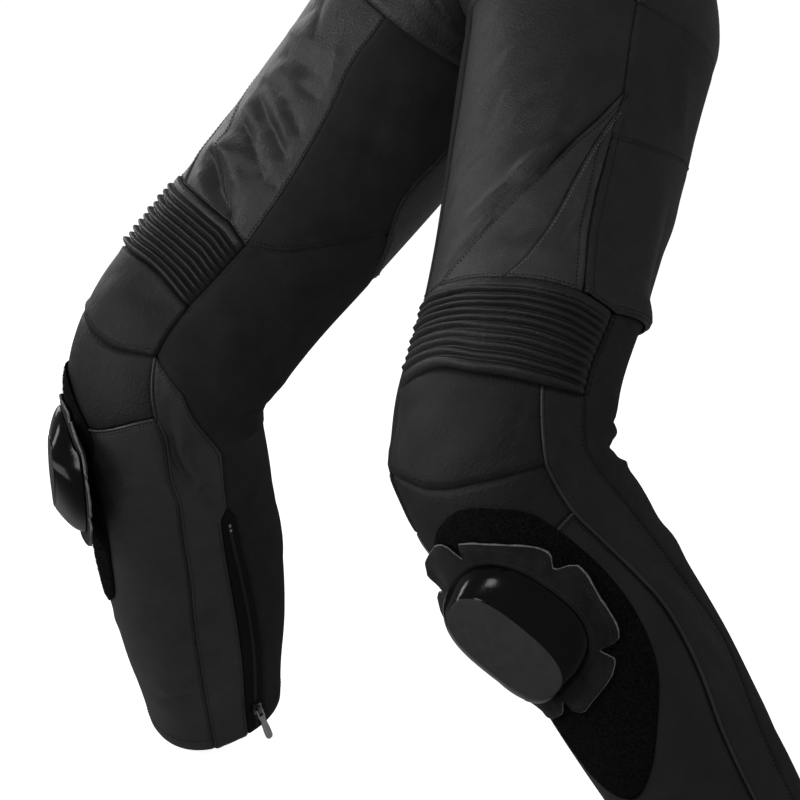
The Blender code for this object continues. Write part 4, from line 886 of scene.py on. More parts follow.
def leg(side):
    """The cut pieces of one leg."""
    make = lambda name, *a, **k: leg_piece(name, side, *a, **k)
    suit, knee, soft = 'suit_leather', 'knee_leather', 'stretch_fabric'
    far = side < 0
    outer_top, back_top = seam([(78, TOP), R1]), seam([(180, TOP), Q1])
    beside = 'plain' if far else 'soft'
    make('thigh_front', INSEAM, chain(outer_top, DIAGONAL_1), level(TOP, -20, 78),
         seam([A0, A1]), 'leather', suit, ('fine', beside, 'plain', 'under'),
         pitch=.0024)
    # The near upper wedge takes the painted-light copy of the leather, the far one plain
    # leather.
    make('thigh_wedge_upper', DIAGONAL_1, DIAGONAL_2, seam([R1, R2]),
         seam([A1, A2]), 'leather' if far else 'wedge_leather', suit,
         ('plain' if far else 'fine', 'groove', 'plain', 'under'), pitch=.0024)
    make('thigh_wedge_lower', DIAGONAL_2, RIDGE_LOW, seam([R2, R3]),
         seam([A2, A3]), 'wedge_leather', suit, ('over', 'ridge', 'plain', 'under'),
         pitch=.003)
    make('thigh_outer_upper', chain(outer_top, RIDGE_HIGH), back_top,
         level(TOP, 78, 180), OUTER_CROSS, 'outer_cloth', suit,
         ('ridge', 'plain', 'plain', 'plain'))
    make('thigh_outer_lower', RIDGE_LOW, seam([Q1, Q2]), OUTER_CROSS,
         chain(ACCORDION_END, STRETCH_OUT), 'outer_cloth', suit,
         ('ridge', 'plain', 'plain', 'flare'))
    make('thigh_back', chain(back_top, seam([Q1, Q2])), BACK_SEAM,
         level(TOP, 180, 266), STRETCH_IN, 'leather', suit,
         ('groove', 'groove', 'plain', 'over'), pitch=.0045)
    make('thigh_inner', turned(BACK_SEAM, -360), INSEAM,
         level(TOP, -94, -90, -20), turned(STRETCH_CROSS, -360), 'stretch',
         soft, ('groove', 'fine', 'plain', 'fine'), pitch=.0045)
    make('knee_back', chain(ACCORDION_OUT, OUTER_BACK),
         turned(chain(ACCORDION_IN, CUP_IN, INNER_STEP, CURVED, ZIP_HEAD_B,
                      ZIP_BACK)),
         chain(STRETCH_OUT, STRETCH_IN, STRETCH_CROSS), level(HEM, 112, 180, 248),
         'stretch', soft, ('under', 'under', 'fine', 'plain'), pitch=.0056)
    make('knee_accordion', ACCORDION_IN, ACCORDION_OUT,
         chain(ACCORDION_TOP, ACCORDION_END), chain(ACCORDION_LOW, ACCORDION_HEEL),
         'rib_leather', 'accordion_leather', ('under', 'under', 'groove', 'groove'),
         rows=RIB_ROWS, relief=rib_relief)
    # The knee cup and strap are cut from the painted-shade copy of the leather.
    make('knee_cup', CUP_IN, CUP_OUT, ACCORDION_LOW, CUP_LOW, 'knee_leather',
         knee, ('over', 'fine', 'over', 'over'), pitch=.0028)
    make('knee_strap', STRAP_IN, STRAP_OUT, CUP_LOW, SHIN_CROSS, 'knee_leather',
         knee, ('groove', 'fine', 'fine', 'fine'), pitch=.0028)
    # The same front piece comes in two copies of the leather: painted light on the far
    # shin, painted shade on the near one.
    make('shin_front', PIPING_IN, PIPING_OUT, SHIN_CROSS,
         level(HEM, -66, 0, 84), 'shin_leather' if far else 'calf_leather', suit,
         ('fine', 'fine', 'fine', 'plain'))
    make('calf_outer', chain(CUP_OUT, STRAP_OUT, PIPING_OUT), OUTER_BACK,
         ACCORDION_HEEL, level(HEM, 84, 112), 'calf_leather', suit,
         ('fine', 'over', 'groove', 'plain'), pitch=.003)
    make('calf_inner', chain(CURVED, ZIP_HEAD_F, ZIP_FRONT),
         chain(STRAP_IN, PIPING_IN), flip(INNER_STEP), level(HEM, -95, -66),
         'shin_leather', suit, ('over', 'over', 'groove', 'plain'), pitch=.003)
    make('calf_zip_tape', ZIP_BACK, ZIP_FRONT, chain(flip(ZIP_HEAD_B), ZIP_HEAD_F),
         level(HEM, -112, -95), 'tape', 'zip_tape',
         ('under', 'under', 'under', 'plain'), pitch=.0022)


def zip_width(cloth):
    """Half of the gap at the front, where the zip shows in it."""
    t = (cloth - WAIST) * 1000 / (TOP - WAIST * 1000)
    return np.interp(t, [0, .40, .56, 1], [ZIP_HALF, ZIP_HALF, 0, 0]) + CENTRE_GAP


flush = lambda place: np.full(np.shape(place), CENTRE_GAP)


SIDE_SEAM = seam([(90, WAIST * 1000), (89, -520), (87, -460), (84, -410),
                  (81, -375), (79, -358), (78, TOP)])


def hips(side):
    """The pieces from the waist to the thighs."""
    waist = WAIST * 1000
    leg_piece('hip_front', side, seam([(-90, waist), (-90, TOP)]), SIDE_SEAM,
              level(waist, -90, 0, 90), level(TOP, -90, -20, 78), 'leather',
              'suit_leather', ('over', 'groove', 'groove', 'plain'),
              pitch=.006, gap=zip_width)
    leg_piece('seat', side, SIDE_SEAM, seam([(270, waist), (270, TOP)]),
              level(waist, 90, 180, 270), level(TOP, 78, 180, 266, 270),
              'leather', 'suit_leather', ('groove', 'plain', 'groove', 'plain'),
              pitch=.006, gap=flush)


# ---------------------------------------------------------- upper pieces
TORSO_CREASES = [   # across and up in metres, from the centre and waist
    (.02, .020, .14, .034, .010, -.0022), (.03, .044, .15, .060, .010, .0020),
    (.00, .090, .12, .075, .012, -.0016), (.06, .120, .20, .150, .012, .0014),
    (.10, .250, .20, .200, .012, -.0020), (.08, .300, .19, .236, .010, .0018),
    (.02, .340, .10, .290, .010, -.0012), (.12, .010, .21, .016, .009, -.0024),
    (.11, .180, .22, .160, .010, -.0012), (.05, .210, .10, .240, .010, .0010)]
SLEEVE_CREASES = [  # round and down in metres, from the underarm seam
    (.02, .020, .15, .050, .010, -.0030), (.01, .050, .12, .085, .010, .0026),
    (.02, .090, .10, .110, .009, -.0018), (.12, .120, .18, .170, .010, -.0012),
    (.00, .232, .16, .240, .009, -.0030), (.01, .252, .17, .262, .009, .0030),
    (.00, .274, .16, .280, .009, -.0032), (.01, .296, .15, .300, .009, .0026),
    (.00, .320, .12, .330, .009, -.0018), (.05, .360, .14, .400, .010, .0014),
    (.02, .440, .12, .420, .010, -.0012), (.06, .470, .15, .500, .009, .0010)]


def grid_normals(p, middle):
    """Normals of a grid, facing away from its middle."""
    ds, dt = np.gradient(p, axis=1), np.gradient(p, axis=0)
    n = unit(np.cross(ds, dt))
    return n * np.sign((n * (p - middle)).sum())


def upper_piece(name, f, cols, rows, middle, edges, creases, side=1, gap=None):
    """A piece of the torso or a sleeve, on the surface f."""
    S, T = np.meshgrid(np.linspace(0, 1, cols), np.linspace(0, 1, rows))
    p = f(S, T)
    high = edge_height(p, edges) + flat_raised(creases, arc(p, 1), arc(p, 0))
    cloth_piece(name, 'upper', p, grid_normals(p, middle), high, 'leather',
                side, None if gap is None else gap(T))


def torso_and_arms(side):
    """Half of the chest and back, and one sleeve."""
    heart = leaned(np.array([0, 0, .40])) - ORIGIN
    zipped = lambda t: np.where(t < NECK_T + .02, ZIP_HALF + CENTRE_GAP, CENTRE_GAP)
    for name, centre, outer, beside, gap in (
            ('chest', FRONT_CENTRE, FRONT_SIDE, 'over', zipped),
            ('back', BACK_CENTRE, BACK_SIDE, 'plain', flush)):
        upper_piece(name + TAG[side], lambda s, t: quarter(side, centre, outer, s, t),
                    44, 84, heart, (beside, 'groove', 'over', 'groove'),
                    TORSO_CREASES, side, gap)
    rows = 96
    down = np.linspace(0, 1, rows)[:, None] * ARM
    line = between(down, ARMS[side][0], ARMS[side][1])
    for name, first in (('sleeve_front', 0), ('sleeve_back', 1)):
        upper_piece(name + TAG[side],
                    lambda s, t: sleeve(side, first + (.5 - first) * s, t * ARM),
                    40, rows, line, ('groove', 'groove', 'groove', 'plain'),
                    SLEEVE_CREASES)


def collar():
    """Standing collar: its foot is tucked behind the neck edge."""
    front = hermite(np.linspace(NECK_T, 1, 40), PANEL_T, FRONT_CENTRE)
    front[0, 0] = ZIP_HALF
    back = hermite(np.linspace(1, NECK_T + .13, 30), PANEL_T, BACK_CENTRE)
    half = np.concatenate([front, back[1:]])
    half[-1, 0] = 0
    line = np.concatenate([half, half[-2::-1] * [-1, 1, 1]])
    way = unit(np.array([0.0, -0.16, 1.0]))
    inward = unit((np.array([0, 0.0, .56]) - line) * [1, 1, 0])
    up = np.linspace(-COLLAR_TUCK, COLLAR, 17)
    roll = .0012 * np.sin(np.pi * np.clip(up / COLLAR, 0, 1)) + np.where(
        up > COLLAR - .006, .0011, 0) - np.where(up < 0, .0013, 0)
    lay = lambda deep: np.stack([leaned(line + way * u + inward * (deep - r + .05 * u))
                                 - ORIGIN for u, r in zip(up, roll)])
    outer, inner = lay(0.0), lay(COLLAR_WALL)
    sheet('collar', outer, inner, ['trim', 'lining'],
          unit(outer - inner))
    GROUND['upper'].append(outer)


def main_zip():
    """Two tapes under a row of teeth, from the crotch to the neck."""
    v = np.linspace(-.46, WAIST, 60)[:-1]
    mean = (body(1, -90.0, v) + body(-1, -90.0, v)) / 2
    high = leaned(hermite(np.linspace(0, NECK_T, 110), PANEL_T, FRONT_CENTRE))
    line = np.concatenate([mean, high]) * [0, 1, 1] - ORIGIN
    width = np.concatenate([zip_width(v), np.full(len(high), ZIP_HALF)])
    half = np.clip(width - .0003, .0004, None)
    share = np.linspace(-1, 1, 9)[None, :, None]
    n = unit(np.cross([1.0, 0, 0], np.gradient(line, axis=0)))
    n *= np.sign(-n[:, 1:2])
    sunk = .0006 + .0006 * np.abs(share)
    outer = line[:, None] + share * half[:, None, None] * [1.0, 0, 0] - n[:, None] * sunk
    sheet('main_zip', outer, outer - n[:, None] * .0010, ['tape', 'tape'],
          np.broadcast_to(n[:, None], outer.shape))
    keep = half > .004
    teeth('main_zip_teeth', line[keep] - n[keep] * .0006, n[keep], .0042, 'metal')


TOOTH_PITCH, TOOTH_LENGTH, TOOTH_HEIGHT = .00135, .00105, .0021


def teeth(name, line, n, wide, finish):
    """Interlocked zip teeth: a rounded block each side in turn."""
    run = runs(line)
    at = np.arange(.001, run[-1] - .001, TOOTH_PITCH)
    p, n = between(at, run, line), unit(between(at, run, n))
    along = unit(np.gradient(p, axis=0))
    across = np.cross(along, n)
    hand = np.where(np.arange(len(at)) % 2, 1.0, -1.0)
    foot = np.array([(-.25, -.5, 0), (.55, -.5, 0), (.55, .5, 0), (-.25, .5, 0)])
    shape = np.concatenate([foot + [0, 0, -.35], foot + [0, 0, .20],
                            foot * [.80, .66, 0] + [.03, 0, .42]])
    v = (shape * np.array([wide, TOOTH_LENGTH, TOOTH_HEIGHT]))[None]
    verts = (p[:, None] + across[:, None] * v[..., :1] * hand[:, None, None]
             + along[:, None] * v[..., 1:2] + n[:, None] * v[..., 2:])
    one = [[0, 3, 2, 1], [8, 9, 10, 11]]
    for r in (0, 4):
        one += [[r + k, r + (k + 1) % 4, r + 4 + (k + 1) % 4, r + 4 + k]
                for k in range(4)]
    one = np.array(one)
    faces = np.concatenate([(one if h > 0 else one[:, ::-1]) + len(shape) * i
                            for i, h in enumerate(hand)])
    mesh_object(name, verts.reshape(-1, 3), faces, [finish], flat=True)


# ------------------------------------------------------ stitches, piping
def tree_of(grids):
    """A search tree over grids of points."""
    verts, faces, first = [], [], 0
    for g in grids:
        rows, cols = g.shape[:2]
        verts.append(g.reshape(-1, 3))
        faces.append(grid_faces(rows, cols, first))
        first += rows * cols
    return BVHTree.FromPolygons(np.concatenate(verts).tolist(),
                                np.concatenate(faces).tolist())


def dropped(tree, points, normals, reach=.014):
    """Points moved onto the cloth along their normals, and those it met."""
    out, met = points.copy(), np.zeros(len(points), bool)
    facing = normals.copy()
    for i, (p, n) in enumerate(zip(points, normals)):
        hit = tree.ray_cast(Vector(p + n * reach), Vector(-n), 2 * reach)
        if hit[0] is not None:
            out[i], met[i] = hit[0], True
            m = np.array(hit[1])
            facing[i] = m * (1 if m @ n > 0 else -1)
    return out, unit(facing + normals), met


def along_leg(side, line, offset=0.0):
    """Seam samples on a leg, moved sideways: + is outward or upward."""
    p, n = leg_surface(side, line[:, 0], line[:, 1] / 1000)
    tangent = unit(np.gradient(p, axis=0))
    return p + np.cross(n, tangent) * side * offset, n


# Rings of a stitch: place along it and girth, as shares. A row of stitches:
# pitch, length and thickness in metres.
CAPSULE = [(-1.0, .05), (-.72, .80), (0.0, 1.0), (.72, .80), (1.0, .05)]
STITCH_SIDES = 5
LEG_STITCH, PALE_STITCH = (.0034, .0026, .00046), (.0034, .0026, .00040)
UPPER_STITCH, FLAP_STITCH = (.0042, .0033, .00038), (.0032, .0022, .00024)
END_STOP = (.0050, .0046, .0013)


def stitch_mesh(p, n, stitch):
    """Raised stitches along a line of points: verts and faces."""
    pitch, long, thick = stitch
    run = runs(p)
    count = int(run[-1] / pitch)
    if count < 1:
        return np.zeros((0, 3)), np.zeros((0, 4), int)
    at = (np.arange(count) + .5) * run[-1] / count
    middle = between(at, run, p)
    way = unit(between(at + .0008, run, p) - between(at - .0008, run, p))
    up = unit(between(at, run, n))
    side = np.cross(way, up)
    rings = []
    for x, fat in CAPSULE:
        rise = thick * (.55 - 1.1 * x * x)
        for k in range(STITCH_SIDES):
            a = 2 * math.pi * k / STITCH_SIDES
            rings.append(middle + way * x * long / 2
                         + side * (fat * thick * math.cos(a))
                         + up * (rise + fat * thick * math.sin(a)))
    v = np.stack(rings, 1)
    last = STITCH_SIDES * (len(CAPSULE) - 1)
    one = np.concatenate([
        grid_faces(len(CAPSULE), STITCH_SIDES, wrap=True),
        [[0, k + 1, k, -1] for k in (3, 2, 1)],
        [[last, last + k, last + k + 1, -1] for k in (1, 2, 3)]])
    step = np.arange(count)[:, None, None] * len(rings)
    faces = np.where(one[None] < 0, -1, one[None] + step).reshape(-1, 4)
    return v.reshape(-1, 3), faces


def sew(parts, tree, p, n, stitch, reach=.014):
    """Stitches along a line, where it lies over the cloth."""
    p, n, met = dropped(tree, p, n, reach)
    if met.sum() > 3:
        parts.append(stitch_mesh(p[met], n[met], stitch))


CORD_SIDES = 8


def cord_mesh(p, n, radius):
    """A round cord along a line of points, closed at its ends."""
    way = unit(np.gradient(p, axis=0))
    side = np.cross(way, n)
    a = 2 * np.pi * np.arange(CORD_SIDES) / CORD_SIDES
    r = np.full(len(p), radius)
    r[[0, -1]] = radius * .4
    v = (p[:, None] + side[:, None] * (np.cos(a)[None, :, None] * r[:, None, None])
         + n[:, None] * (np.sin(a)[None, :, None] * r[:, None, None]))
    faces = grid_faces(len(p), CORD_SIDES, wrap=True)
    caps = [[0, k + 1, k, -1] for k in range(1, CORD_SIDES - 1)]
    last = (len(p) - 1) * CORD_SIDES
    caps += [[last, last + k, last + k + 1, -1] for k in range(1, CORD_SIDES - 1)]
    return v.reshape(-1, 3), np.concatenate([faces, caps])


def leg_trim(side):
    """Stitches and piping of one leg, with the stitch rows beside its calf zip."""
    tree = tree_of(GROUND[side])
    accordion_top = chain(ACCORDION_TOP, ACCORDION_END)
    band_low = accordion_top + np.array([0, 8.3])
    rows = [   # seam, offsets in millimetres
        (DIAGONAL_1, (3.4,)), (RIDGE_LOW, (-6.8, 6.8)),
        (seam([R2, R3]), (6.6,)), (OUTER_CROSS, (2.4,)),
        (accordion_top, (-1.6, 2.4)), (band_low, (0.0,)),
        (ACCORDION_IN, (-2.4,)), (ACCORDION_OUT, (2.4,)),
        (chain(ACCORDION_LOW, ACCORDION_HEEL), (-2.2,)),
        (CUP_LOW, (5.2,)), (CUP_IN, (2.4,)),
        (SHIN_CROSS, (-3.2, 3.2)), (STRAP_IN, (3.4,)), (PIPING_IN, (-2.2, 2.6)),
        (chain(STRAP_OUT, PIPING_OUT), (-3.4,)), (OUTER_BACK, (-2.4,)),
        (STRETCH_CROSS, (2.4, 5.4)), (chain(STRETCH_OUT, STRETCH_IN), (2.4, 5.4)),
        (chain(INNER_STEP, CURVED), (2.6,)), (ZIP_FRONT, (3.0,)),
        (ZIP_BACK, (-3.0,)), (INSEAM, (2.6,)), (BACK_SEAM, (-2.6,)),
        (level(HEM - 12, -66, 84), (0.0,)), (level(HEM - 12, 84, 250), (0.0,))]
    parts = []
    for line, offsets in rows:
        for off in offsets:
            sew(parts, tree, *along_leg(side, line, off / 1000), LEG_STITCH)
    joined('stitches' + TAG[side], parts, 'thread')
    parts = []
    sew(parts, tree, *along_leg(side, DIAGONAL_2, .0026), PALE_STITCH)
    joined('pale_stitches' + TAG[side], parts, 'pale_thread')
    parts = []
    for line, radius in ((chain(CUP_OUT, STRAP_OUT, PIPING_OUT), .0015),
                         (STRAP_IN, .0014), (SHIN_CROSS, .0014)):
        p, n = along_leg(side, line)
        parts.append(cord_mesh(p + n * .0002, n, radius))
    joined('piping' + TAG[side], parts, 'piping')


def calf_zip(side):
    """Teeth and end stop of the calf zip."""
    t = np.linspace(0, 1, 120)
    front, back = (between(t, np.linspace(0, 1, len(line)), line)
                   for line in (ZIP_FRONT, ZIP_BACK))
    share = np.interp(t, [0, .25, 1], [.5, .42, .5])[:, None]
    middle = front * share + back * (1 - share)
    middle[:, 1] += 6 * (1 - t)
    p, n = along_leg(side, middle)
    teeth('calf_zip_teeth' + TAG[side], p - n * .0002, n, .0036, 'chain')
    joined('zip_end_stop' + TAG[side], [stitch_mesh(p[:7], n[:7], END_STOP)],
           'bright_metal')


def upper_trim():
    """Topstitching of the hips, chest, back and sleeves."""
    tree = tree_of(GROUND['upper'] + [g for side in (1, -1) for g in GROUND[side]])
    parts = []

    def add(p, normal_from, offsets):
        way = unit(np.gradient(p, axis=0))
        n = unit(p - normal_from)
        n = unit(n - way * (n * way).sum(-1, keepdims=True))
        for off in offsets:
            sew(parts, tree, p + np.cross(n, way) * off / 1000, n, UPPER_STITCH, .02)

    spine = lambda p: np.stack([0 * p[:, 0], np.full(len(p), p[:, 1].mean()),
                                p[:, 2]], -1)
    share, ones = np.linspace(0.01, 0.99, 160), np.ones(160)
    for side in (1, -1):
        for centre, outer in ((FRONT_CENTRE, FRONT_SIDE), (BACK_CENTRE, BACK_SIDE)):
            hole = quarter(side, centre, outer, ones, .5 + .49 * share)
            add(hole, ARMS[side][1][0] + np.array([side * -.05, 0, 0]), (3.0,))
            waist = quarter(side, centre, outer, share, ones * .004)
            add(waist, spine(waist), (-3.0, 3.0))
        flank = quarter(side, FRONT_CENTRE, FRONT_SIDE, np.ones(120),
                        np.linspace(.01, .49, 120))
        add(flank, spine(flank), (-2.8, 2.8))
        shoulder = quarter(side, FRONT_CENTRE, FRONT_SIDE, share, ones)
        add(shoulder, shoulder - [0, 0, .1], (-2.8, 2.8))
        d = np.linspace(.01, .99, 200) * ARM
        middle = between(d, ARMS[side][0], ARMS[side][1])
        for u in (0.0, 0.5):
            add(sleeve(side, np.full(len(d), u), d), middle, (-2.8, 2.8))
        u = np.linspace(0.01, .99, 120)
        add(sleeve(side, u, np.full(len(u), ARM - .012)), middle[-1], (0.0,))
        p, n = leg_surface(side, SIDE_SEAM[:, 0], SIDE_SEAM[:, 1] / 1000)
        way = unit(np.gradient(p, axis=0))
        for off in (-2.8, 2.8):
            sew(parts, tree, p + np.cross(n, way) * off / 1000, n, UPPER_STITCH)
        top = level(WAIST * 1000 + 4, -88, 268)
        sew(parts, tree, *along_leg(side, top), UPPER_STITCH)
        low = leg_surface(side, np.full(110, -90.0),
                          np.linspace(WAIST + .006, -.475, 110))[0]
        high = quarter(side, FRONT_CENTRE, FRONT_SIDE, np.zeros(170),
                       np.linspace(.01, NECK_T - .01, 170))
        for p in (low, high):
            p = p + np.array([side * (ZIP_HALF + .004), 0, 0])
            sew(parts, tree, p, np.broadcast_to([0, -1.0, 0], p.shape), UPPER_STITCH, .03)
    joined('stitches_upper', parts, 'thread')


# ------------------------------------------------- knee slider, its patch
def ringed(name, rings, slots, finishes):
    """A closed body lofted through rings; slots: one per step between them."""
    n = len(rings[0])
    verts = np.concatenate(rings + [rings[0].mean(0)[None], rings[-1].mean(0)[None]])
    faces, where = [], []
    for r, s in enumerate(slots):
        a, b = r * n + np.arange(n), r * n + np.roll(np.arange(n), -1)
        faces.append(np.stack([a, a + n, b + n, b], -1))
        where.append(np.full(n, s))
    top, low = len(verts) - 2, len(verts) - 1
    a, b = np.arange(n), np.roll(np.arange(n), -1)
    none = np.full(n, -1)
    faces.append(np.stack([np.full(n, top), a, b, none], -1))
    where.append(np.full(n, slots[0]))
    last = (len(rings) - 1) * n
    faces.append(np.stack([np.full(n, low), last + b, last + a, none], -1))
    where.append(np.full(n, slots[-1]))
    faces, where = np.concatenate(faces), np.concatenate(where)
    tri = verts[faces[:, :3]]
    middle = verts.mean(0)
    volume = ((tri[:, 0] - middle) * np.cross(tri[:, 1] - middle,
                                              tri[:, 2] - middle)).sum()
    if volume < 0:
        quads = faces[:, 3] >= 0
        faces[quads] = faces[quads][:, ::-1]
        faces[~quads, :3] = faces[~quads, :3][:, ::-1]
    return mesh_object(name, verts, faces, finishes, where)


def closed_curve(points, count):
    """A closed smooth curve through points."""
    k = np.arange(-3, len(points) + 4)
    return hermite(np.arange(count) / count * len(points), k, points[k % len(points)])


def blurred(h, times):
    """Heights on rings, evened out round each and from ring to ring."""
    for _ in range(times):
        h = (h + np.roll(h, 1, 1) + np.roll(h, -1, 1)) / 3
        h[1:-1] = (h[:-2] + h[1:-1] * 2 + h[2:]) / 4
    return h


PATCH_LIFT, PATCH_THICK, PATCH_BRIDGE = .0012, .0015, .0014
PATCH_POINTS, PATCH_RINGS = 150, 34
PATCH_STRETCH = .09      # how much the top of the far leg's patch is let down
PILE_HAIRS, HAIR_RADIUS = 7000, .00042


def loop_patch(side):
    """Loop half of the fastening: a felted patch with its standing pile."""
    edge = closed_curve(PATCH, PATCH_POINTS)
    if side < 0:
        edge[:, 1] += PATCH_STRETCH * np.maximum(0, PATCH_MIDDLE[1] - edge[:, 1])
    shares = np.linspace(.02, 1, PATCH_RINGS)
    uv = PATCH_MIDDLE + (edge - PATCH_MIDDLE)[None] * shares[:, None, None]
    uv = uv + PATCH_SHIFT[side]
    p, n = leg_surface(side, uv[..., 0], uv[..., 1] / 1000, creased=False)
    on = dropped(tree_of(GROUND[side]), p.reshape(-1, 3), n.reshape(-1, 3))[0]
    lowest = ((on.reshape(p.shape) - p) * n).sum(-1) + .0005
    bridge = PATCH_BRIDGE * smooth((.050 - uv[..., 1] / 1000) / .035)
    high = np.maximum(PATCH_LIFT + bridge, lowest)
    for _ in range(6):
        high = np.maximum(blurred(high, 3), lowest)
    rim = 1 - smooth((1 - shares) / .06)[:, None]
    outer = p + n * (high + PATCH_THICK * (1 - .75 * rim))[..., None]
    inner = p + n * high[..., None]
    rings = list(outer) + list(inner[::-1])
    obj = ringed('loop_pile_base' + TAG[side], rings, [0] * (len(rings) - 1),
                 ['pile'])
    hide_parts('loop_patch' + TAG[side])
    GROUND[side].append(outer)
    pile(side, outer, n)


def pile(side, outer, n):
    """Short stiff hairs, leaning every way, all over the patch."""
    rng = np.random.default_rng(11 + side)
    r = np.sqrt(rng.uniform(0, .985, PILE_HAIRS)) * (PATCH_RINGS - 1.001)
    k = rng.uniform(0, PATCH_POINTS, PILE_HAIRS)
    i, j = r.astype(int), k.astype(int) % PATCH_POINTS
    fr, fj = (r - i)[:, None], (k % 1)[:, None]
    j2 = (j + 1) % PATCH_POINTS
    base = ((outer[i, j] * (1 - fj) + outer[i, j2] * fj) * (1 - fr)
            + (outer[i + 1, j] * (1 - fj) + outer[i + 1, j2] * fj) * fr)
    way = unit(n[i, j] + rng.normal(0, .45, (PILE_HAIRS, 3)))
    u = unit(np.cross(way, rng.normal(0, 1, (PILE_HAIRS, 3))))
    w = np.cross(way, u)
    tall = rng.uniform(.0005, .0013, (PILE_HAIRS, 1))
    foot, fat = base - n[i, j] * .0002, HAIR_RADIUS
    verts = np.stack([foot + u * fat, foot - u * fat * .5 + w * fat * .87,
                      foot - u * fat * .5 - w * fat * .87, base + way * tall], 1)
    one = np.array([[0, 1, 3, -1], [1, 2, 3, -1], [2, 0, 3, -1], [2, 1, 0, -1]])
    step = np.arange(PILE_HAIRS)[:, None, None] * 4
    faces = np.where(one < 0, -1, one[None] + step)
    mesh_object('loop_pile' + TAG[side], verts.reshape(-1, 3), faces.reshape(-1, 4),
                ['pile'])


def puck_frame(side):
    """The slider's seat: its middle, its two ways and its outward way."""
    puck = PUCKS[side]
    a, v = puck['at']
    p, n = leg_surface(side, np.array(a), np.array(v), creased=False)
    point = lambda da, dv: leg_surface(side, np.array(a + da), np.array(v + dv),
                                       creased=False)[0]
    down = unit(point(0, .001) - point(0, -.001))
    across = point(-.5, 0) - point(.5, 0)
    across = unit(across - down * (across @ down))
    co, si = math.cos(puck['turn']), math.sin(puck['turn'])
    e1, e2 = down * co + across * si, across * co - down * si
    out = unit(n + puck['tilt'][0] * e1 + puck['tilt'][1] * e2)
    f1 = unit(e1 - out * (e1 @ out))
    f2 = np.cross(out, f1)
    return p + n * puck['stand'], f1, f2 * np.sign(f2 @ e2), out


def oval(turn, half):
    """A squared ring with the given half sizes."""
    c, s = np.cos(turn), np.sin(turn)
    return np.stack([np.sign(c) * np.abs(c)**(2 / OVAL_POWER) * half[0],
                     np.sign(s) * np.abs(s)**(2 / OVAL_POWER) * half[1]], -1)


# Reach of the backing past the slider's foot: degrees round it, millimetres.
PETALS = np.array([
    [0, 20], [4, 21], [8, 19], [12, 13], [15, 6], [18, 9], [20, 13], [23, 14],
    [34, 17], [48, 17], [56, 16], [60, 14], [63, 9], [66, 5], [69, 9], [72, 12],
    [85, 14], [98, 14], [106, 13], [110, 9], [114, 4], [118, 9], [121, 11],
    [132, 12], [144, 12], [151, 10], [154, 7], [157, 5], [160, 13], [163, 20],
    [172, 25], [184, 27], [190, 25], [194, 20], [196, 13], [198.5, 7], [201, 14],
    [204, 20], [214, 19], [229, 17.5], [243, 18], [256, 20], [262, 19],
    [264.5, 17], [266, 12], [268, 9], [269.5, 17], [271, 24], [276, 22.5],
    [281, 20], [291, 17], [305, 18], [316, 19], [323, 18], [327, 14], [331, 6],
    [334, 11], [336.5, 17.5], [340, 19], [347, 21], [360, 20]])
BACK_THICK = .0018
OVAL_POWER = 2.6         # 2 is an ellipse
# Rings of the backing: shares of the foot inside it, of the reach past it.
INSIDE = np.array([.04, .25, .5, .7, .85, .94, 1.0])
OVER = np.array([.15, .35, .55, .75, .90, 1.0])
TURN = np.radians(np.arange(0, 360, 1.5))
FOOT_RING = len(INSIDE) - 1


def ground_under(side, xy):
    """Height of the cloth and the patch under places on the slider's seat."""
    middle, f1, f2, out = puck_frame(side)
    patch = GROUND[side][-1]
    trees = (tree_of(GROUND[side][:-1]),
             tree_of([np.concatenate([patch, patch[:, :1]], 1)]))
    flat_xy = xy.reshape(-1, 2)
    high = np.full(len(flat_xy), -.1)
    for i, (x, y) in enumerate(flat_xy):
        start = Vector(middle + f1 * x + f2 * y + out * .06)
        for tree in trees:
            hit = tree.ray_cast(start, Vector(-out))
            if hit[0] is not None:
                high[i] = max(high[i], .06 - hit[3])
    return high.reshape(xy.shape[:-1])


def knee_slider(side):
    """The petalled backing on the loop patch, and the hard slider on it."""
    middle, f1, f2, out = puck_frame(side)
    place = lambda xy, z: (middle + xy[..., :1] * f1 + xy[..., 1:] * f2
                           + np.broadcast_to(z, xy.shape[:-1])[..., None] * out)
    foot = oval(TURN, PUCK_FOOT)
    spread, lower = PUCKS[side]['reach']
    reach = np.interp(np.degrees(TURN), PETALS[:, 0], PETALS[:, 1]) / 1000
    reach = reach * (spread + lower * np.sin(TURN))
    past = 1 + OVER[:, None] * (reach / np.linalg.norm(foot, axis=1))[None]
    plan = np.concatenate([foot[None] * INSIDE[:, None, None],
                           foot[None] * past[..., None]])
    rest, u, z = backing_heights(side, plan, reach)
    ripple = .0004 * np.sin(23 * TURN)[None] * u
    backing(side, place, plan, z, ripple, out)
    puck(side, place, foot, rest)
    flap_stitches(side, place, foot, reach, z + BACK_THICK + .0001, out)


def backing_heights(side, plan, reach):
    """Rest height under the slider, reach of each ring, and the backing's own."""
    g = ground_under(side, plan)
    top = g[:FOOT_RING + 1].max()
    rest = np.maximum((g + top) / 2, top - PUCKS[side]['depth']) + .0009
    u = np.concatenate([np.zeros(len(INSIDE)), OVER])[:, None] * (reach / .017)
    edge_z = np.maximum(g + .0026, rest[FOOT_RING] - PUCKS[side]['droop'])
    z = rest * (1 - smooth(u)) + edge_z * smooth(u)
    z[FOOT_RING + 1:] = np.maximum(z[FOOT_RING + 1:], g[FOOT_RING + 1:] + .0010)
    curl = .0016 * smooth((u - .55) / .45) * (1 + .7 * np.sin(5 * TURN + side))
    return rest, u, blurred(z, 2) + np.maximum(curl, 0)


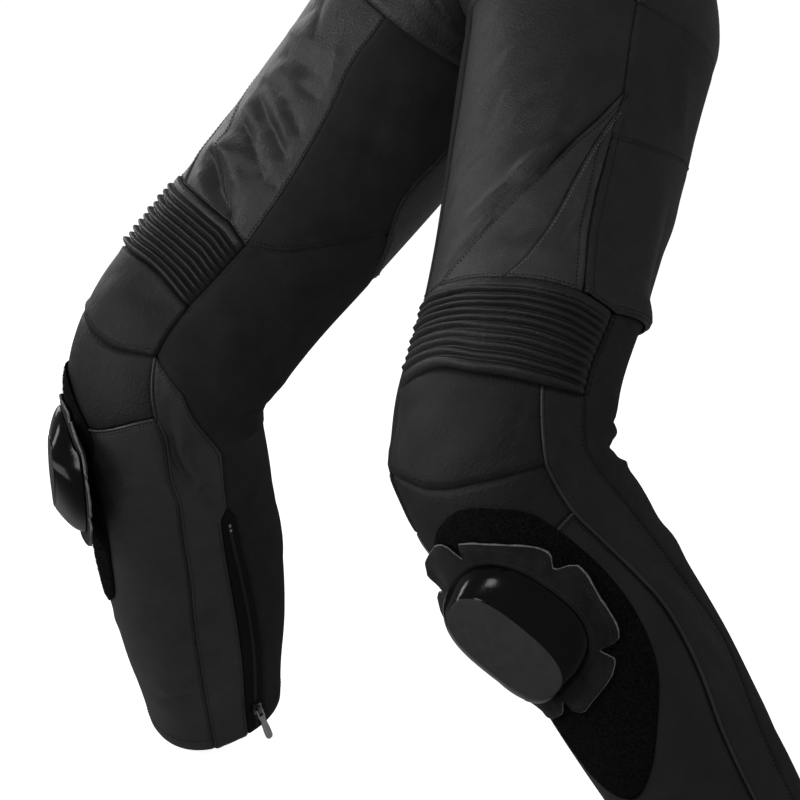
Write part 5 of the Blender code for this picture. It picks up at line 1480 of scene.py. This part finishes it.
def backing(side, place, plan, z, ripple, out):
    """The backing: two faces and a pale cut edge."""
    low, high = place(plan, z + ripple), place(plan, z + ripple + BACK_THICK)
    narrow = plan[-1] * (1 - .0004 / np.linalg.norm(plan[-1], axis=1))[:, None]
    rings = list(high[:-1]) + [place(narrow, z[-1] + BACK_THICK), high[-1]
                               - out * .0005] + list(low[::-1])
    steps = len(rings) - 1
    raw = [1 if len(high) - 1 <= r <= len(high) else 0 for r in range(steps)]
    obj = ringed('backing' + TAG[side], rings, raw, ['suede', 'raw_edge'])
    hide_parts('slider_backing' + TAG[side])


def puck(side, place, foot, rest):
    """The hard slider: a bellied side and a worn, nearly flat face."""
    seat = rest[FOOT_RING] + BACK_THICK + .0004
    shift = np.array(PUCK_SHIFT)
    rings = [place(foot * k, z + BACK_THICK + .0003)
             for k, z in zip(INSIDE[:-1], rest)] + [place(foot * .985, seat)]
    slots = [0] * len(rings)
    for k in (0.03, .10, .20, .32, .45, .58, .70, .80, .88, .94):
        bulge = PUCK_DOME * math.sin(math.pi * k)**.9
        half = [a * (1 - k) + b * k + bulge * (a - b)
                for a, b in zip(PUCK_FOOT, PUCK_FACE)]
        rings.append(place(oval(TURN, half) + shift * k,
                           seat * (1 - k) + PUCK_HEIGHT * k))
        slots.append(0)
    face = oval(TURN, PUCK_FACE)
    for k, rise in ((1.006, -.0006), (1.0, -.0002), (.992, .0001), (.97, .0003),
                    (.80, .0006), (.55, .0011), (.25, .0015), (.05, .0016)):
        rings.append(place(face * k + shift, PUCK_HEIGHT + rise))
        slots.append(0 if k > .995 else 1)
    obj = ringed('slider_puck' + TAG[side], rings, slots[:-1],
                 ['puck_side', 'puck_face'])
    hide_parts('knee_slider' + TAG[side])


def flap_stitches(side, place, foot, reach, heights, out):
    """A row round the slider's foot, and one inside the edge of each petal."""
    parts = []
    far = np.linalg.norm(foot, axis=1)
    for way, least in ((np.full(len(TURN), .0022), .006), (reach - .0055, .013)):
        row = foot * (1 + way / far)[:, None]
        up = np.array([np.interp(way[k] / max(reach[k], 1e-6), [0, *OVER],
                                 heights[FOOT_RING:, k]) for k in range(len(TURN))])
        clear = (reach > least).astype(int)
        ends = np.flatnonzero(np.diff(np.concatenate([[0], clear, [0]])))
        for a, b in zip(ends[::2], ends[1::2]):
            if b - a > 5:
                q = place(row, up)[a + 1:b - 1]
                parts.append(stitch_mesh(q, np.broadcast_to(out, q.shape), FLAP_STITCH))
    joined('slider_stitches' + TAG[side], parts, 'flap_thread')


# ------------------------------------------------------------- everything
for side in (1, -1):
    leg(side)
    hips(side)
    torso_and_arms(side)
collar()
main_zip()
for side in (1, -1):
    leg_trim(side)
    calf_zip(side)
upper_trim()
for side in (1, -1):
    loop_patch(side)
    knee_slider(side)
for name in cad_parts:
    if name.endswith(('_pull', '_slider')):
        finish = FINISH['bright_metal' if name.endswith('_pull') else 'metal']
        for holder in bpy.data.objects[name].material_slots:
            holder.material = finish

# ----------------------------------------------------- camera, light, floor
AZIMUTH, ELEVATION = math.radians(55), math.radians(12)
DISTANCE, FOCAL, FRAME = 3.5, 4571.5, 800   # metres; pixels, and across the frame
SENSOR = 36.0
TARGET = Vector((0, -.0182, -.8944))
TARGET_OFF = (79.58, 56.99)             # pixels, right of and above the target
back = Vector((math.sin(AZIMUTH) * math.cos(ELEVATION),
               -math.cos(AZIMUTH) * math.cos(ELEVATION), math.sin(ELEVATION)))
right = Vector((math.cos(AZIMUTH), math.sin(AZIMUTH), 0))
above = back.cross(right)
look = (-back + right * (TARGET_OFF[0] / FOCAL)
        + above * (TARGET_OFF[1] / FOCAL)).normalized()
right = (right - look * right.dot(look)).normalized()
above = right.cross(look)
camera = bpy.data.objects.new('camera', bpy.data.cameras.new('camera'))
bpy.context.collection.objects.link(camera)
camera.data.sensor_width = SENSOR
camera.data.lens = FOCAL / FRAME * SENSOR
turn = [[right[k], above[k], -look[k]] for k in range(3)]
camera.matrix_world = Matrix(turn).to_4x4()
camera.location = TARGET + back * DISTANCE
bpy.context.scene.camera = camera
LIGHTS = [   # name, way from the target, distance, size, power, seen mirrored
    ('key_0', (-.95, -1.0, .50), 2.6, (.55, .65), 10, True),
    ('key_1', (-.20, -1.0, .50), 2.6, (.55, .65), 10, False),
    ('key_2', (.50, -1.0, .50), 2.6, (.55, .65), 10, True),
    ('low_front', (-.35, -1.0, -.10), 2.8, (1.6, 1.0), 18, True),
    ('soft_fill', (.9, -.5, .35), 3.2, (2.2, 2.0), 20, False),
    ('edge', (-1.0, .15, .45), 2.4, (1.0, 1.6), 11, True),
    ('top', (.1, -.1, 1.0), 3.0, (.9, .5), 5, True)]
for name, way, distance, size, power, mirrored in LIGHTS:
    lamp = bpy.data.lights.new(name, 'AREA')
    lamp.shape, lamp.size, lamp.size_y = 'RECTANGLE', size[0], size[1]
    lamp.energy = power
    light = bpy.data.objects.new(name, lamp)
    light.visible_glossy = mirrored
    bpy.context.collection.objects.link(light)
    way = Vector(way).normalized()
    light.location = TARGET + way * distance
    light.rotation_euler = (-way).to_track_quat('-Z', 'Y').to_euler()
world = bpy.data.worlds.new('studio')
bpy.context.scene.world = world
world.use_nodes = True
world.node_tree.nodes['Background'].inputs['Color'].default_value = (1, 1, 1, 1)
world.node_tree.nodes['Background'].inputs['Strength'].default_value = .20
bpy.context.scene.view_settings.view_transform = 'Standard'
bpy.context.scene.view_settings.look = 'None'

FLOOR_HALF, FLOOR_DROP, FLOOR_GLOW = 14, .004, .85
low_z = min(CAD_BOX[0][2], CAD_BOX[1][2]) - FLOOR_DROP
mesh = bpy.data.meshes.new('floor')
mesh.from_pydata([(x * FLOOR_HALF, y * FLOOR_HALF, low_z) for x, y in
                  ((-1, -1), (1, -1), (1, 1), (-1, 1))], [], [(0, 1, 2, 3)])
floor = bpy.data.objects.new('floor', mesh)
bpy.context.collection.objects.link(floor)
pale = surface('floor_paint', grey(.80), .9, shade=.01, spread=2)
glow = pale.node_tree.nodes['Principled BSDF']
glow.inputs['Emission Color'].default_value = (1, 1, 1, 1)
glow.inputs['Emission Strength'].default_value = FLOOR_GLOW
mesh.materials.append(pale)
floor.visible_diffuse = False
floor.visible_glossy = False
